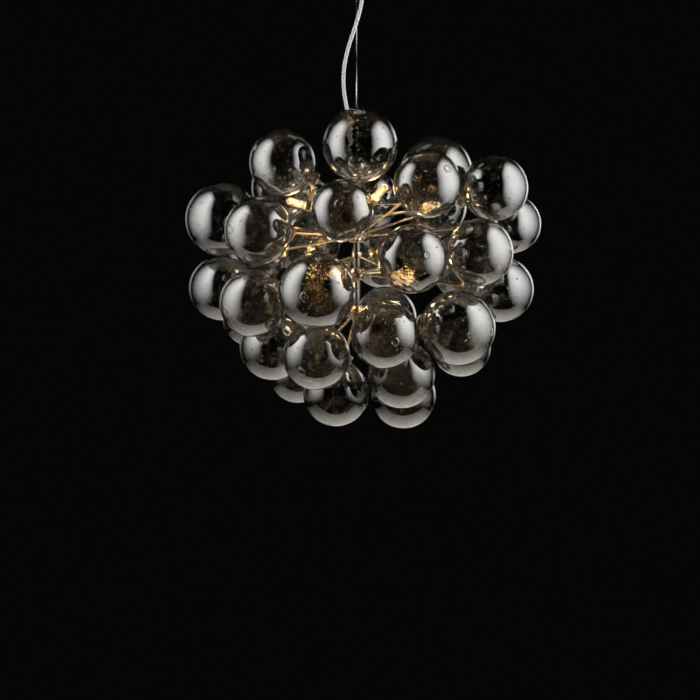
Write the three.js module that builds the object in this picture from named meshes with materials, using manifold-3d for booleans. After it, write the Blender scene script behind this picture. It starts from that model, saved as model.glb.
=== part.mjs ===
// Bubble chandelier: a cluster of blown glass bubbles on radial arms, hung from a ceiling canopy
// by one steel wire, with the power cord wound loosely round the wire.
// Millimetres. +Z is up and the origin is the centre of the ceiling face. +Y points away from the viewer.

import * as THREE from 'three';
import { mergeVertices } from 'three/addons/utils/BufferGeometryUtils.js';
import Module from 'manifold-3d';

const wasm = await Module();
wasm.setup();

// Fits
const clearance = 0.3;
const overrun = 2;

// Glass bubbles: the middle radius rules the whole cluster, and each mould is a share of it
const bubbleRadius = 60;
const glassWall = 1.6;
const neckRadius = 13;
const neckHeight = 7;
const mouldShares = { small: 0.88, medium: 0.97, large: 1.08 };
const bubbleSides = 12;
const bubbleRows = 6;

// Ceiling end
const canopyRadius = 58;
const canopyHeight = 42;
const canopyWall = 1.2;
const canopyCorner = 8;
const canopyHoleRadius = 23.5;
const barLength = 104;
const barWidth = 22;
const barThickness = 3;
const ceilingScrewSpacing = 70;
const ceilingScrewHoleRadius = 2.6;
const canopyScrewInset = 8;
const canopyScrewSpacing = barLength - 2 * canopyScrewInset;
const canopyScrewRadius = 2;
const screwHeadRadius = 4.5;
const screwHeadHeight = 2.6;
const terminalLength = 14;
const terminalWidth = 24;
const terminalHeight = 11;
const terminalHoleRadius = 2;
const terminalWays = 3;

// Universal joint that lets the pendant hang straight
const pivotDepth = 24;
const crossBlock = 9;
const pinRadius = 2;
const lugWidth = 10;
const lugThickness = 3;
const lugGap = 20;
const forkPlateThickness = 3;
const forkPlateWidth = 12;
const forkPlateDepth = 10.8;
const studRadius = 4;
const nutRadius = 7;
const nutHeight = 3;

// Cable gripper
const gripperRadius = 15.5;
const gripperLength = 37;
const gripperShoulder = 5;
const gripperTaper = 4;
const plungerRadius = 4;
const plungerLength = 14;
const plungerStandOut = 5;
const plungerRecess = 12;

// Suspension wire and power cord
const wireRadius = 0.9;
const wireGripLength = 28;
const freeDrop = 310;
const cordRadius = 3.25;
const cordGripOffset = 10;
const cordCapOffset = 13;
const cordPoints = [
  [10, 0, -66], [10, 0, -80], [9, -1.8, -91], [6.8, -4, -103], [3.4, -5.6, -117],
  [-1.2, -6.2, -132], [-6.8, -5.8, -149], [-12.8, -4.6, -167], [-18, -3, -186], [-21.6, -1.4, -206],
  [-23, 0, -228], [-21.8, 1, -250], [-18.4, 1.6, -271], [-14.8, 1.6, -291], [-12.6, 1, -310],
  [-12, 0.4, -328], [-12.6, 0, -345], [-13, 0, -356], [-13, 0, -368.5],
];
const cordSides = 8;
const cordSteps = 44;

// Cap and stem of the cluster
const capRadius = 20;
const capHeight = 16;
const capSocketDepth = 10;
const glandRadius = 7;
const glandTipRadius = 5;
const glandHeight = 22;
const glandDepth = 12;
const stemRadius = 6;
const stemBoreRadius = 4;
const stemTopShare = 2.75;
const stemEndShare = -1.45;

// Arm hubs, each a ball on the stem with one arm to each bubble of its tier
const hubRadius = 15;
const hubHalfHeight = 11;
const armRadius = 2;
const cupRadius = 14.5;
const cupHeight = 7;
const cupRim = 2.5;
const plugDepth = 5;
const armSides = 8;
const hubHeightShares = { crown: 1.75, upper: 0.75, lower: -0.35, bottom: stemEndShare };

// Lamp holders, each a collar with three sockets, and the lamps in them
const collarRadius = 9.5;
const collarHalfHeight = 5.5;
const lampArmRadius = 2.2;
const socketRadius = 9;
const socketLength = 22;
const socketRecess = 8;
const lampRadius = 7;
const lampLength = 42;
const collarHeightShares = { upper: 1.25, lower: 0.2 };

// Places of the sockets' mouths, as shares of the bubble radius from the middle of the cluster:
// holder, then right, away and up
const lampPlaceShares = [
  ['upper', -1.5, -0.2, 1.65],
  ['upper', 0.55, -0.7, 1.85],
  ['upper', 1.9, -0.9, 1.5],
  ['lower', -0.45, -0.8, -0.25],
  ['lower', 1.2, -1.2, -0.4],
  ['lower', -1, 1.5, -0.05],
];

// Places of the bubble centres, as shares of the bubble radius from the middle of the cluster:
// mould, hub, then right, away and up
const bubblePlaceShares = [
  ['large', 'crown', 0.1, -1.6, 3.3],
  ['medium', 'crown', -2.15, -0.95, 2.85],
  ['large', 'crown', 2.35, 0.2, 2.65],
  ['medium', 'upper', 2, -2.6, 2.1],
  ['medium', 'upper', 4, -1.05, 2.1],
  ['small', 'upper', 4.6, 0.6, 1.15],
  ['large', 'upper', -3.95, -0.1, 1.25],
  ['medium', 'upper', -2.8, -2.25, 0.8],
  ['small', 'upper', -0.4, -3.5, 1.3],
  ['medium', 'lower', 1.55, -3.55, -0.05],
  ['medium', 'lower', 3.5, -2.05, 0.2],
  ['medium', 'lower', 4.25, 0.1, -0.8],
  ['medium', 'lower', -4, 0.6, -0.75],
  ['medium', 'lower', -2.95, -2, -1.25],
  ['large', 'lower', -1.1, -3.5, -0.95],
  ['medium', 'bottom', 0.8, -2.95, -2.15],
  ['large', 'bottom', 2.9, -1.8, -1.95],
  ['medium', 'bottom', -1.15, -2.2, -2.75],
  ['medium', 'bottom', -0.6, -0.4, -3.85],
  ['medium', 'bottom', 1.4, 0.7, -3.95],
  ['medium', 'bottom', -2.45, -0.5, -2.5],
  ['small', 'bottom', -1.75, 1.4, -3.3],
  ['small', 'lower', -3.2, 2.3, -1.6],
  ['small', 'bottom', 3.1, 0.4, -2.5],
  ['medium', 'bottom', 1.3, -1.25, -3.3],
  ['medium', 'crown', 0.35, 2.3, 2],
  ['medium', 'crown', -2.2, 1.55, 2.3],
  ['medium', 'crown', 2.4, 2.4, 1.8],
  ['medium', 'upper', -3.1, 2.3, 0.3],
  ['large', 'upper', -1.55, 3.65, 0.8],
  ['medium', 'upper', 0.8, 3.9, 0.3],
  ['large', 'lower', 3.35, 2.2, -0.05],
  ['medium', 'lower', -1.4, 3.3, -1.5],
  ['medium', 'bottom', 0.9, 3.1, -1.6],
];

// Heights that follow from the sizes above
const forkPlateTop = -pivotDepth - forkPlateDepth;
const forkPlateBottom = forkPlateTop - forkPlateThickness;
const gripperTop = forkPlateBottom - clearance;
const gripperBottom = gripperTop - gripperLength;
const clusterHeight = gripperBottom - freeDrop - stemTopShare * bubbleRadius;
const stemTop = clusterHeight + stemTopShare * bubbleRadius;
const stemBottom = clusterHeight + stemEndShare * bubbleRadius;
const capBottom = stemTop - capSocketDepth;
const capTop = capBottom + capHeight;

// Finishes
const finish = (color, roughness, metalness) =>
  new THREE.MeshStandardMaterial({ color, roughness, metalness });
const chrome = finish(0xdcdcda, 0.1, 1);
const plainSteel = finish(0xa9abad, 0.38, 1);
const wireSteel = finish(0xc4c6c8, 0.28, 1);
const clearCord = finish(0xcfd0cc, 0.35, 0);
const ceramic = finish(0xe9e4d8, 0.55, 0);
const smokedGlass = finish(0x6f6a66, 0.05, 0);
smokedGlass.transparent = true;
smokedGlass.opacity = 0.45;
const lampGlass = finish(0xffd9a0, 0.15, 0);

// Facets of the round pieces
const canopySides = 32;
const roundSides = 20;
const smallSides = 12;
const nutSides = 6;
const cornerSteps = 3;
const ballSteps = 4;
const quarterTurn = Math.PI / 2;

const part = new THREE.Group();

/** Adds one named piece to the chandelier. */
function place(name, geometry, material) {
  const mesh = new THREE.Mesh(geometry, material);
  mesh.name = name;
  part.add(mesh);
}

/** Makes a closed solid of a geometry, with its shared corners merged. */
function solid(geometry) {
  geometry.deleteAttribute('normal');
  geometry.deleteAttribute('uv');
  const merged = mergeVertices(geometry);
  const corners = merged.index.array;
  const faces = [];
  for (let i = 0; i < corners.length; i += 3) {
    const [a, b, c] = corners.slice(i, i + 3);
    if (a !== b && b !== c && c !== a) faces.push(a, b, c);
  }
  const vertProperties = new Float32Array(merged.attributes.position.array);
  return new wasm.Manifold(new wasm.Mesh({ numProp: 3, vertProperties, triVerts: new Uint32Array(faces) }));
}

/** Makes a geometry of a solid. */
function shapeOf(manifold) {
  const { vertProperties, triVerts } = manifold.getMesh();
  const geometry = new THREE.BufferGeometry();
  geometry.setAttribute('position', new THREE.BufferAttribute(vertProperties, 3));
  geometry.setIndex(new THREE.BufferAttribute(triVerts, 1));
  geometry.computeVertexNormals();
  return geometry;
}

const join = (solids) => solids.reduce((whole, next) => whole.add(next));
const cut = (body, tools) => tools.reduce((rest, tool) => rest.subtract(tool), body);

/** Turns a profile of [radius, height] points about the Z axis. */
function turned(profile, sides) {
  const points = profile.map(([radius, height]) => new THREE.Vector2(radius, height));
  return new THREE.LatheGeometry(points, sides).rotateX(Math.PI / 2);
}

/** A round bar along Z between two heights, standing at x, y. */
function bar(radius, bottom, top, sides, x = 0, y = 0) {
  return turned([[0, bottom], [radius, bottom], [radius, top], [0, top]], sides).translate(x, y, 0);
}

/** A box by its size, with its centre at x, y, z. */
const block = (width, depth, height, x, y, z) =>
  new THREE.BoxGeometry(width, depth, height).translate(x, y, z);

/** Points [radius, height] on a circle about the origin, from one elevation to another. */
function arc(radius, from, to, steps) {
  return Array.from({ length: steps + 1 }, (_, step) => {
    const angle = from + ((to - from) * step) / steps;
    return [Math.max(0, radius * Math.cos(angle)), radius * Math.sin(angle)];
  });
}

/** Stands a shape made along +Z on a point, pointing in a direction. */
function aim(geometry, point, direction) {
  const turn = new THREE.Quaternion().setFromUnitVectors(new THREE.Vector3(0, 0, 1), direction);
  return geometry.applyQuaternion(turn).translate(point.x, point.y, point.z);
}

/** Cross bar on the ceiling, with the two lugs that carry the universal joint. */
function ceilingBracket() {
  const lugBottom = -pivotDepth - lugWidth / 2;
  const lugHeight = -lugBottom;
  const lugPlace = (lugGap + lugThickness) / 2;
  const body = join([
    solid(block(barLength, barWidth, barThickness, 0, 0, -barThickness / 2)),
    ...[-1, 1].map((side) =>
      solid(block(lugThickness, lugWidth, lugHeight, side * lugPlace, 0, lugBottom / 2))),
  ]);
  const hole = (radius, x) => solid(bar(radius, -barThickness - overrun, overrun, smallSides, x));
  const pinHole = bar(pinRadius + clearance, -lugGap, lugGap, smallSides).rotateY(quarterTurn);
  return cut(body, [
    ...[-1, 1].map((side) => hole(ceilingScrewHoleRadius, (side * ceilingScrewSpacing) / 2)),
    ...[-1, 1].map((side) => hole(canopyScrewRadius + clearance, (side * canopyScrewSpacing) / 2)),
    solid(pinHole.translate(0, 0, -pivotDepth)),
  ]);
}

/** Spun metal cup over the ceiling fitting, with a hole for the pendant and two for its screws. */
function canopy() {
  const corner = (radius) => arc(radius, 0, -quarterTurn, cornerSteps).map(([across, up]) =>
    [canopyRadius - canopyCorner + across, canopyCorner - canopyHeight + up]);
  const profile = [
    [canopyRadius - canopyWall, 0],
    ...corner(canopyCorner - canopyWall),
    [canopyHoleRadius, canopyWall - canopyHeight],
    [canopyHoleRadius, -canopyHeight],
    ...corner(canopyCorner).reverse(),
    [canopyRadius, 0],
    [canopyRadius - canopyWall, 0],
  ];
  const floor = -canopyHeight;
  return cut(solid(turned(profile, canopySides)), [-1, 1].map((side) => solid(
    bar(canopyScrewRadius + clearance, floor - overrun, floor + canopyWall + overrun, smallSides,
      (side * canopyScrewSpacing) / 2))));
}

/** Long screw from under the canopy up into the cross bar. */
function canopyScrew(side) {
  const headTop = -canopyHeight - clearance;
  const profile = [
    ...arc(screwHeadRadius, -quarterTurn, 0, cornerSteps).map(([across, up]) =>
      [across, headTop + (up * screwHeadHeight) / screwHeadRadius]),
    [canopyScrewRadius, headTop],
    [canopyScrewRadius, -barThickness / 2],
    [0, -barThickness / 2],
  ];
  return turned(profile, smallSides).translate((side * canopyScrewSpacing) / 2, 0, 0);
}

/** Terminal block under the cross bar, with a pair of wire entries for each way. */
function terminalBlock() {
  const x = (lugGap + ceilingScrewSpacing) / 4;
  const z = -barThickness - clearance - terminalHeight / 2;
  const pitch = terminalWidth / terminalWays;
  return cut(solid(block(terminalLength, terminalWidth, terminalHeight, x, 0, z)),
    Array.from({ length: terminalWays }, (_, way) => solid(
      bar(terminalHoleRadius, -terminalLength, terminalLength, armSides).rotateY(quarterTurn)
        .translate(x, (way - (terminalWays - 1) / 2) * pitch, z))));
}

/** Cross of the universal joint: a block with a pin along X and a pin along Y. */
function gimbalCross() {
  const pinReach = lugGap / 2 + lugThickness + clearance;
  const pin = () => bar(pinRadius, -pinReach, pinReach, smallSides);
  return join([
    solid(block(crossBlock, crossBlock, crossBlock, 0, 0, -pivotDepth)),
    solid(pin().rotateY(quarterTurn).translate(0, 0, -pivotDepth)),
    solid(pin().rotateX(quarterTurn).translate(0, 0, -pivotDepth)),
  ]);
}

/** Fork that hangs on the cross and carries the pendant's stud. */
function hangingFork() {
  const lugTop = -pivotDepth + lugWidth / 2;
  const lugHeight = lugTop - forkPlateBottom;
  const lugPlace = (lugGap + lugThickness) / 2;
  const plateDepth = lugGap + 2 * lugThickness;
  const body = join([
    solid(block(forkPlateWidth, plateDepth, forkPlateThickness,
      0, 0, (forkPlateTop + forkPlateBottom) / 2)),
    ...[-1, 1].map((side) =>
      solid(block(lugWidth, lugThickness, lugHeight, 0, side * lugPlace, lugTop - lugHeight / 2))),
  ]);
  const pinHole = bar(pinRadius + clearance, -lugGap, lugGap, smallSides).rotateX(quarterTurn);
  return cut(body, [
    solid(pinHole.translate(0, 0, -pivotDepth)),
    solid(bar(studRadius + clearance, forkPlateBottom - overrun, forkPlateTop + overrun, smallSides)),
  ]);
}

/** Nut on top of the stud, which turns with the pendant on the fork's plate. */
function swivelNut() {
  const bottom = forkPlateTop + clearance;
  return cut(solid(bar(nutRadius, bottom, bottom + nutHeight, nutSides)),
    [solid(bar(studRadius + clearance, bottom - overrun, bottom + nutHeight + overrun, smallSides))]);
}

/** Cable gripper: a stud, a body that grips the wire, and a side hole for the cord. */
function cableGripper() {
  const studTop = forkPlateTop + clearance + nutHeight;
  const body = solid(turned([
    [0, gripperBottom],
    [gripperRadius - gripperTaper, gripperBottom],
    [gripperRadius, gripperBottom + gripperTaper],
    [gripperRadius, gripperTop - gripperShoulder],
    [gripperRadius - gripperTaper / 2, gripperTop],
    [studRadius, gripperTop],
    [studRadius, studTop],
    [0, studTop],
  ], roundSides));
  return cut(body, [
    solid(bar(wireRadius + clearance, gripperBottom - overrun, gripperBottom + wireGripLength + clearance,
      armSides)),
    solid(bar(plungerRadius + clearance, gripperBottom - overrun, gripperBottom + plungerRecess,
      smallSides)),
    solid(bar(cordRadius + clearance, gripperBottom - overrun, gripperTop + overrun, smallSides,
      cordGripOffset)),
  ]);
}

/** Sprung sleeve round the wire that is pushed up to let it slip. */
function gripperPlunger() {
  const bottom = gripperBottom - plungerStandOut;
  const top = bottom + plungerLength;
  const bore = wireRadius + clearance;
  return turned([[bore, top], [bore, bottom], [plungerRadius, bottom], [plungerRadius, top], [bore, top]],
    smallSides);
}

/** Power cord from the gripper to the gland on the cap. */
function powerCord() {
  const route = new THREE.CatmullRomCurve3(cordPoints.map((point) => new THREE.Vector3(...point)));
  const section = new THREE.Shape(Array.from({ length: cordSides }, (_, side) => {
    const angle = (2 * Math.PI * side) / cordSides;
    return new THREE.Vector2(cordRadius * Math.cos(angle), cordRadius * Math.sin(angle));
  }));
  return new THREE.ExtrudeGeometry(section, { steps: cordSteps, extrudePath: route, bevelEnabled: false });
}

/** Cap on the stem: it holds the wire, and a tapered gland on it holds the cord. */
function topCap() {
  const edge = capRadius - capSocketDepth / 2;
  const body = solid(turned([
    [0, capBottom],
    [edge, capBottom],
    [capRadius, capBottom + capSocketDepth / 2],
    [capRadius, capTop - clearance],
    [capRadius - clearance, capTop],
    [0, capTop],
  ], roundSides));
  const gland = solid(turned([
    [0, capBottom + capSocketDepth],
    [glandRadius, capBottom + capSocketDepth],
    [glandRadius, capTop],
    [glandTipRadius, capTop + glandHeight],
    [0, capTop + glandHeight],
  ], smallSides).translate(-cordCapOffset, 0, 0));
  return cut(body.add(gland), [
    solid(bar(stemRadius + clearance, capBottom - overrun, stemTop + clearance, smallSides)),
    solid(bar(wireRadius + clearance, stemTop - overrun, capTop + overrun, armSides)),
    solid(bar(cordRadius + clearance, capTop + glandHeight - glandDepth, capTop + glandHeight + overrun,
      smallSides, -cordCapOffset)),
  ]);
}

/** Stem of the cluster, a tube that carries the lamp wires inside. */
function hubStem() {
  const ends = [stemBottom, stemTop];
  return turned([
    [stemBoreRadius, ends[1]], [stemBoreRadius, ends[0]], [stemRadius, ends[0]], [stemRadius, ends[1]],
    [stemBoreRadius, ends[1]],
  ], smallSides);
}

const radiusOf = (mould) => mouldShares[mould] * bubbleRadius;
const neckTop = (mould) => radiusOf(mould) + neckHeight;

/** The bubbles with their centres, their hubs' centres and the direction from hub to bubble. */
const bubbles = bubblePlaceShares.map(([mould, hub, ...shares], index) => {
  const centre = new THREE.Vector3(...shares).multiplyScalar(bubbleRadius);
  centre.z += clusterHeight;
  const start = new THREE.Vector3(0, 0, clusterHeight + hubHeightShares[hub] * bubbleRadius);
  const direction = centre.clone().sub(start);
  const distance = direction.length();
  return { name: `bubble_${String(index + 1).padStart(2, '0')}`, mould, hub, centre, start,
    direction: direction.normalize(), distance };
});

/** Blown glass bubble about the origin, with its neck on +Z. */
function glassBubble(mould) {
  const outer = radiusOf(mould);
  const inner = outer - glassWall;
  const bore = neckRadius - glassWall;
  return turned([
    ...arc(outer, -quarterTurn, Math.acos(neckRadius / outer), bubbleRows),
    [neckRadius, neckTop(mould)],
    [bore, neckTop(mould)],
    ...arc(inner, Math.acos(bore / inner), -quarterTurn, bubbleRows),
  ], bubbleSides);
}

/** Arm along +Z from the hub's centre to a cup and a plug that fill a bubble's neck. */
function bubbleArm({ distance, mould }) {
  const seat = distance - neckTop(mould) - clearance;
  const plugRadius = (neckRadius - glassWall) * Math.cos(Math.PI / bubbleSides) - clearance;
  return turned([
    [0, 0], [armRadius, 0], [armRadius, seat - cupHeight], [cupRadius, seat - cupRim], [cupRadius, seat],
    [plugRadius, seat], [plugRadius, seat + plugDepth], [0, seat + plugDepth],
  ], armSides);
}

/** Ball on the stem with the arms of one tier. */
function armHub(hub) {
  const height = clusterHeight + hubHeightShares[hub] * bubbleRadius;
  const isEnd = height - hubHalfHeight < stemBottom;
  const face = Math.asin(hubHalfHeight / hubRadius);
  const profile = [[0, -hubHalfHeight], ...arc(hubRadius, -face, face, ballSteps), [0, hubHalfHeight]];
  const ball = solid(turned(profile, smallSides).translate(0, 0, height));
  const arms = bubbles.filter((bubble) => bubble.hub === hub)
    .map((bubble) => solid(aim(bubbleArm(bubble), bubble.start, bubble.direction)));
  const boreBottom = isEnd ? stemBottom - clearance : height - 2 * hubRadius;
  return cut(join([ball, ...arms]),
    [solid(bar(stemRadius + clearance, boreBottom, height + 2 * hubRadius, smallSides))]);
}

/** The lamps of a holder, with their places and directions. */
function lampsOf(holder) {
  const start = new THREE.Vector3(0, 0, clusterHeight + collarHeightShares[holder] * bubbleRadius);
  return lampPlaceShares.filter(([onHolder]) => onHolder === holder).map(([, ...shares]) => {
    const mouth = new THREE.Vector3(...shares).multiplyScalar(bubbleRadius);
    mouth.z += clusterHeight;
    const reach = mouth.sub(start);
    return { start, distance: reach.length(), direction: reach.normalize() };
  });
}

/** Collar on the stem with three arms, each with a lamp socket at its end. */
function lampHolder(holder) {
  const lamps = lampsOf(holder);
  const { start } = lamps[0];
  const collar = solid(bar(collarRadius, start.z - collarHalfHeight, start.z + collarHalfHeight,
    smallSides));
  const arms = lamps.map(({ direction, distance }) => solid(aim(turned([
    [0, 0], [lampArmRadius, 0], [lampArmRadius, distance - socketLength],
    [socketRadius, distance - socketLength], [socketRadius, distance],
    [lampRadius + clearance, distance], [lampRadius + clearance, distance - socketRecess],
    [0, distance - socketRecess],
  ], smallSides), start, direction)));
  return cut(join([collar, ...arms]), [solid(
    bar(stemRadius + clearance, start.z - 2 * collarRadius, start.z + 2 * collarRadius, smallSides))]);
}

/** Capsule lamp in its socket. */
function lamp({ start, direction, distance }) {
  const seat = distance - socketRecess + clearance;
  const shoulder = seat + lampLength - lampRadius;
  return aim(turned([
    [0, seat], [lampRadius, seat],
    ...arc(lampRadius, 0, quarterTurn, ballSteps).map(([across, up]) => [across, shoulder + up]),
  ], smallSides), start, direction);
}

place('ceiling_bracket', shapeOf(ceilingBracket()), plainSteel);
place('canopy', shapeOf(canopy()), chrome);
place('canopy_screw_left', canopyScrew(-1), chrome);
place('canopy_screw_right', canopyScrew(1), chrome);
place('terminal_block', shapeOf(terminalBlock()), ceramic);
place('gimbal_cross', shapeOf(gimbalCross()), plainSteel);
place('hanging_fork', shapeOf(hangingFork()), plainSteel);
place('swivel_nut', shapeOf(swivelNut()), plainSteel);
place('cable_gripper', shapeOf(cableGripper()), chrome);
place('gripper_plunger', gripperPlunger(), chrome);
place('suspension_wire', bar(wireRadius, stemTop + clearance, gripperBottom + wireGripLength, armSides),
  wireSteel);
place('power_cord', powerCord(), clearCord);
place('top_cap', shapeOf(topCap()), chrome);
place('hub_stem', hubStem(), chrome);
for (const hub of Object.keys(hubHeightShares)) place(`arm_hub_${hub}`, shapeOf(armHub(hub)), chrome);
for (const holder of Object.keys(collarHeightShares)) {
  place(`lamp_holder_${holder}`, shapeOf(lampHolder(holder)), chrome);
  lampsOf(holder).forEach((each, index) => place(`lamp_${holder}_${index + 1}`, lamp(each), lampGlass));
}
for (const bubble of bubbles) {
  place(bubble.name, aim(glassBubble(bubble.mould), bubble.centre, bubble.direction.clone().negate()),
    smokedGlass);
}

export default part;
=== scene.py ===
# %% [markdown]
# # Bubble chandelier
# A bubble chandelier is a cluster of blown glass bubbles, each pushed by its neck onto a thin nickel arm.
# The arms stand out from balls on a central stem, and a few warm lamps burn between them.
# One steel wire carries the weight, and the pale power cord winds loosely down beside it.
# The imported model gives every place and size. This script dresses it: finer pieces and real finishes.
# Lengths are in metres, +Z is up, and +Y points away from the viewer.

import math

import bpy
import numpy as np
from mathutils import Matrix, Vector
from mathutils.geometry import interpolate_bezier


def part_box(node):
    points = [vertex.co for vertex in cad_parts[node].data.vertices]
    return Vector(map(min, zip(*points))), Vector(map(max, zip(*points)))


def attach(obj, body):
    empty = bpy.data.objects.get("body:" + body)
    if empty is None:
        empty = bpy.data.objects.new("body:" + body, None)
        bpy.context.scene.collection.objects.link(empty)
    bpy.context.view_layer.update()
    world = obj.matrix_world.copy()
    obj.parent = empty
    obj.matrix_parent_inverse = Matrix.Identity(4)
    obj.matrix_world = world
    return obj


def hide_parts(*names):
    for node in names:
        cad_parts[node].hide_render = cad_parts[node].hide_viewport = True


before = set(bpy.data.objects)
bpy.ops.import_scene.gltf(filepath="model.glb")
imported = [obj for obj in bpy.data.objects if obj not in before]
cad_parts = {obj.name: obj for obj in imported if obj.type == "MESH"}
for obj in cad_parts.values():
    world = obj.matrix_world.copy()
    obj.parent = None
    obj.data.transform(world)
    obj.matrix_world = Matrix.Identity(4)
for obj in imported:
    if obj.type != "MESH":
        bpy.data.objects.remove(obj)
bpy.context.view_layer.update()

# %% [markdown]
# ## Camera
# The photograph looks level at the chandelier from far away, so circles stay circles and the bubbles at
# the back are hardly smaller than those in front. A long lens at four metres gives that.
# The camera could be turned and shifted until the picture fits, but here two facts place it: the width
# that one pixel covers at the stem, and the pixel where the middle of the cluster shows.

# %% Camera
photo_pixels = 700
metres_per_pixel = 0.001765
stem_column = 356.5
cluster_row = 262
camera_distance = 4.0
stem_above_middle = 0.165
sensor_width = 36

scene = bpy.context.scene
cluster_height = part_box("hub_stem")[1].z - stem_above_middle
photo_middle = photo_pixels / 2
bpy.ops.object.camera_add(
    location=(
        (photo_middle - stem_column) * metres_per_pixel,
        -camera_distance,
        cluster_height + (cluster_row - photo_middle) * metres_per_pixel,
    ),
    rotation=(math.radians(90), 0, 0),
)
camera = bpy.context.object
camera.data.sensor_width = sensor_width
camera.data.lens = sensor_width * camera_distance / (photo_pixels * metres_per_pixel)
scene.camera = camera
print("lens", round(camera.data.lens, 1), "camera at", [round(x, 3) for x in camera.location])

# %% [markdown]
# ## A helper for tubes
# Wire, strands and cord are all a round section led along a line. A curve with a bevel would do, but a
# mesh made ring by ring also gets a UV map, with one turn across and metres along. The twist inside the
# cord's sheath needs that map to follow the bends.


# %% Tube along a line
def deselect_all():
    """Leaves edit mode and deselects everything."""
    if bpy.context.object and bpy.context.object.mode != "OBJECT":
        bpy.ops.object.mode_set(mode="OBJECT")
    bpy.ops.object.select_all(action="DESELECT")


def activate(*pieces):
    """Selects these pieces only and makes the first one active."""
    deselect_all()
    for piece in pieces:
        piece.select_set(True)
    bpy.context.view_layer.objects.active = pieces[0]


def shade_smooth(angle=30):
    """Shades the selected piece smooth, except at edges sharper than an angle in degrees."""
    bpy.ops.object.shade_smooth_by_angle(angle=math.radians(angle))


def tube(name, line, radius, sides):
    """A closed round tube along a line of points, with u once round it and v in metres along it."""
    line = [Vector(p) for p in line]
    across = Vector((1, 0, 0))
    vertices, along, travelled = [], [], 0
    for i, point in enumerate(line):
        ahead = (line[min(i + 1, len(line) - 1)] - line[max(i - 1, 0)]).normalized()
        across = (across - across.dot(ahead) * ahead).normalized()
        other = ahead.cross(across)
        travelled += (point - line[max(i - 1, 0)]).length
        along.append(travelled)
        for side in range(sides):
            angle = 2 * math.pi * side / sides
            vertices.append(point + radius * (math.cos(angle) * across + math.sin(angle) * other))
    faces, corners = [], []
    for i in range(len(line) - 1):
        for side in range(sides):
            here, there = i * sides, (i + 1) * sides
            following = (side + 1) % sides
            faces.append((here + side, here + following, there + following, there + side))
            for turn, ring in ((side, i), (side + 1, i), (side + 1, i + 1), (side, i + 1)):
                corners.append((turn / sides, along[ring]))
    for ring, order in ((0, range(sides - 1, -1, -1)), (len(line) - 1, range(sides))):
        faces.append(tuple(ring * sides + side for side in order))
        corners += [(side / sides, along[ring]) for side in order]
    mesh = bpy.data.meshes.new(name)
    mesh.from_pydata(vertices, [], faces)
    uv_map = mesh.uv_layers.new(name="UVMap")
    for loop, corner in zip(uv_map.data, corners):
        loop.uv = corner
    piece = bpy.data.objects.new(name, mesh)
    bpy.context.collection.objects.link(piece)
    activate(piece)
    shade_smooth(40)
    return piece


def join_pieces(name, parts):
    """Joins several pieces into one."""
    activate(*parts)
    bpy.ops.object.join()
    parts[0].name = parts[0].data.name = name
    return parts[0]


# %% [markdown]
# ## Suspension wire
# The pendant hangs on one straight stranded steel wire, 1.8 mm thick: six strands laid round a core.
# A smooth rod with a bump would lose its outline close up, so each strand is a real helix here.

# %% Suspension wire
strand_radius = 0.0003
strands = 6
strand_lay = 0.015
strand_steps_per_turn = 12
strand_sides = 6

wire_low, wire_high = (corner.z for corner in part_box("suspension_wire"))
wire_bottom = Vector((0, 0, wire_low))
wire_top = Vector((0, 0, wire_high))
wire_length = wire_high - wire_low
helix_radius = 2 * strand_radius
helix_steps = round(wire_length / strand_lay * strand_steps_per_turn)
wire_parts = [tube("wire_core", [wire_top, wire_bottom], strand_radius, strand_sides)]
for strand in range(strands):
    helix = []
    for step in range(helix_steps + 1):
        rise = wire_length * step / helix_steps
        angle = 2 * math.pi * (rise / strand_lay + strand / strands)
        helix.append((helix_radius * math.cos(angle), helix_radius * math.sin(angle), wire_low + rise))
    wire_parts.append(tube("strand", helix, strand_radius, strand_sides))
suspension_wire = join_pieces("stranded_wire", wire_parts)
print("wire", round(wire_length, 4), "m long,", helix_steps, "steps to a strand")

# %% [markdown]
# ## Power cord
# The cord is a round 6.5 mm lead in a milky clear sheath. It leaves the cable gripper, swings to the
# left of the wire and back, and goes down into the gland on the cap.
# Its line goes through the same points as the CAD cord, eased the same way, so it lies just where that does.

# %% Power cord
cord_radius = 0.00325
cord_sides = 24
cord_steps = 8
cord_points = [
    (0.010, 0, -0.066), (0.010, 0, -0.080), (0.009, -0.0018, -0.091), (0.0068, -0.004, -0.103),
    (0.0034, -0.0056, -0.117), (-0.0012, -0.0062, -0.132), (-0.0068, -0.0058, -0.149),
    (-0.0128, -0.0046, -0.167), (-0.018, -0.003, -0.186), (-0.0216, -0.0014, -0.206),
    (-0.023, 0, -0.228), (-0.0218, 0.001, -0.250), (-0.0184, 0.0016, -0.271),
    (-0.0148, 0.0016, -0.291), (-0.0126, 0.001, -0.310), (-0.012, 0.0004, -0.328),
    (-0.0126, 0, -0.345), (-0.013, 0, -0.356), (-0.013, 0, -0.3685),
]


def eased_line(points, steps):
    """A centripetal spline through the points, as a line of short steps."""
    points = [Vector(p) for p in points]
    points = [2 * points[0] - points[1], *points, 2 * points[-1] - points[-2]]
    line = [points[1]]
    for a, b, c, d in zip(points, points[1:], points[2:], points[3:]):
        before, between, after = (math.sqrt((q - p).length) for p, q in ((a, b), (b, c), (c, d)))
        leaving = ((b - a) / before - (c - a) / (before + between) + (c - b) / between) * between
        arriving = ((c - b) / between - (d - b) / (between + after) + (d - c) / after) * between
        line += interpolate_bezier(b, b + leaving / 3, c - arriving / 3, c, steps + 1)[1:]
    return line


cord_line = eased_line(cord_points, cord_steps)
power_cord = tube("power_lead", cord_line, cord_radius, cord_sides)

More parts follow.
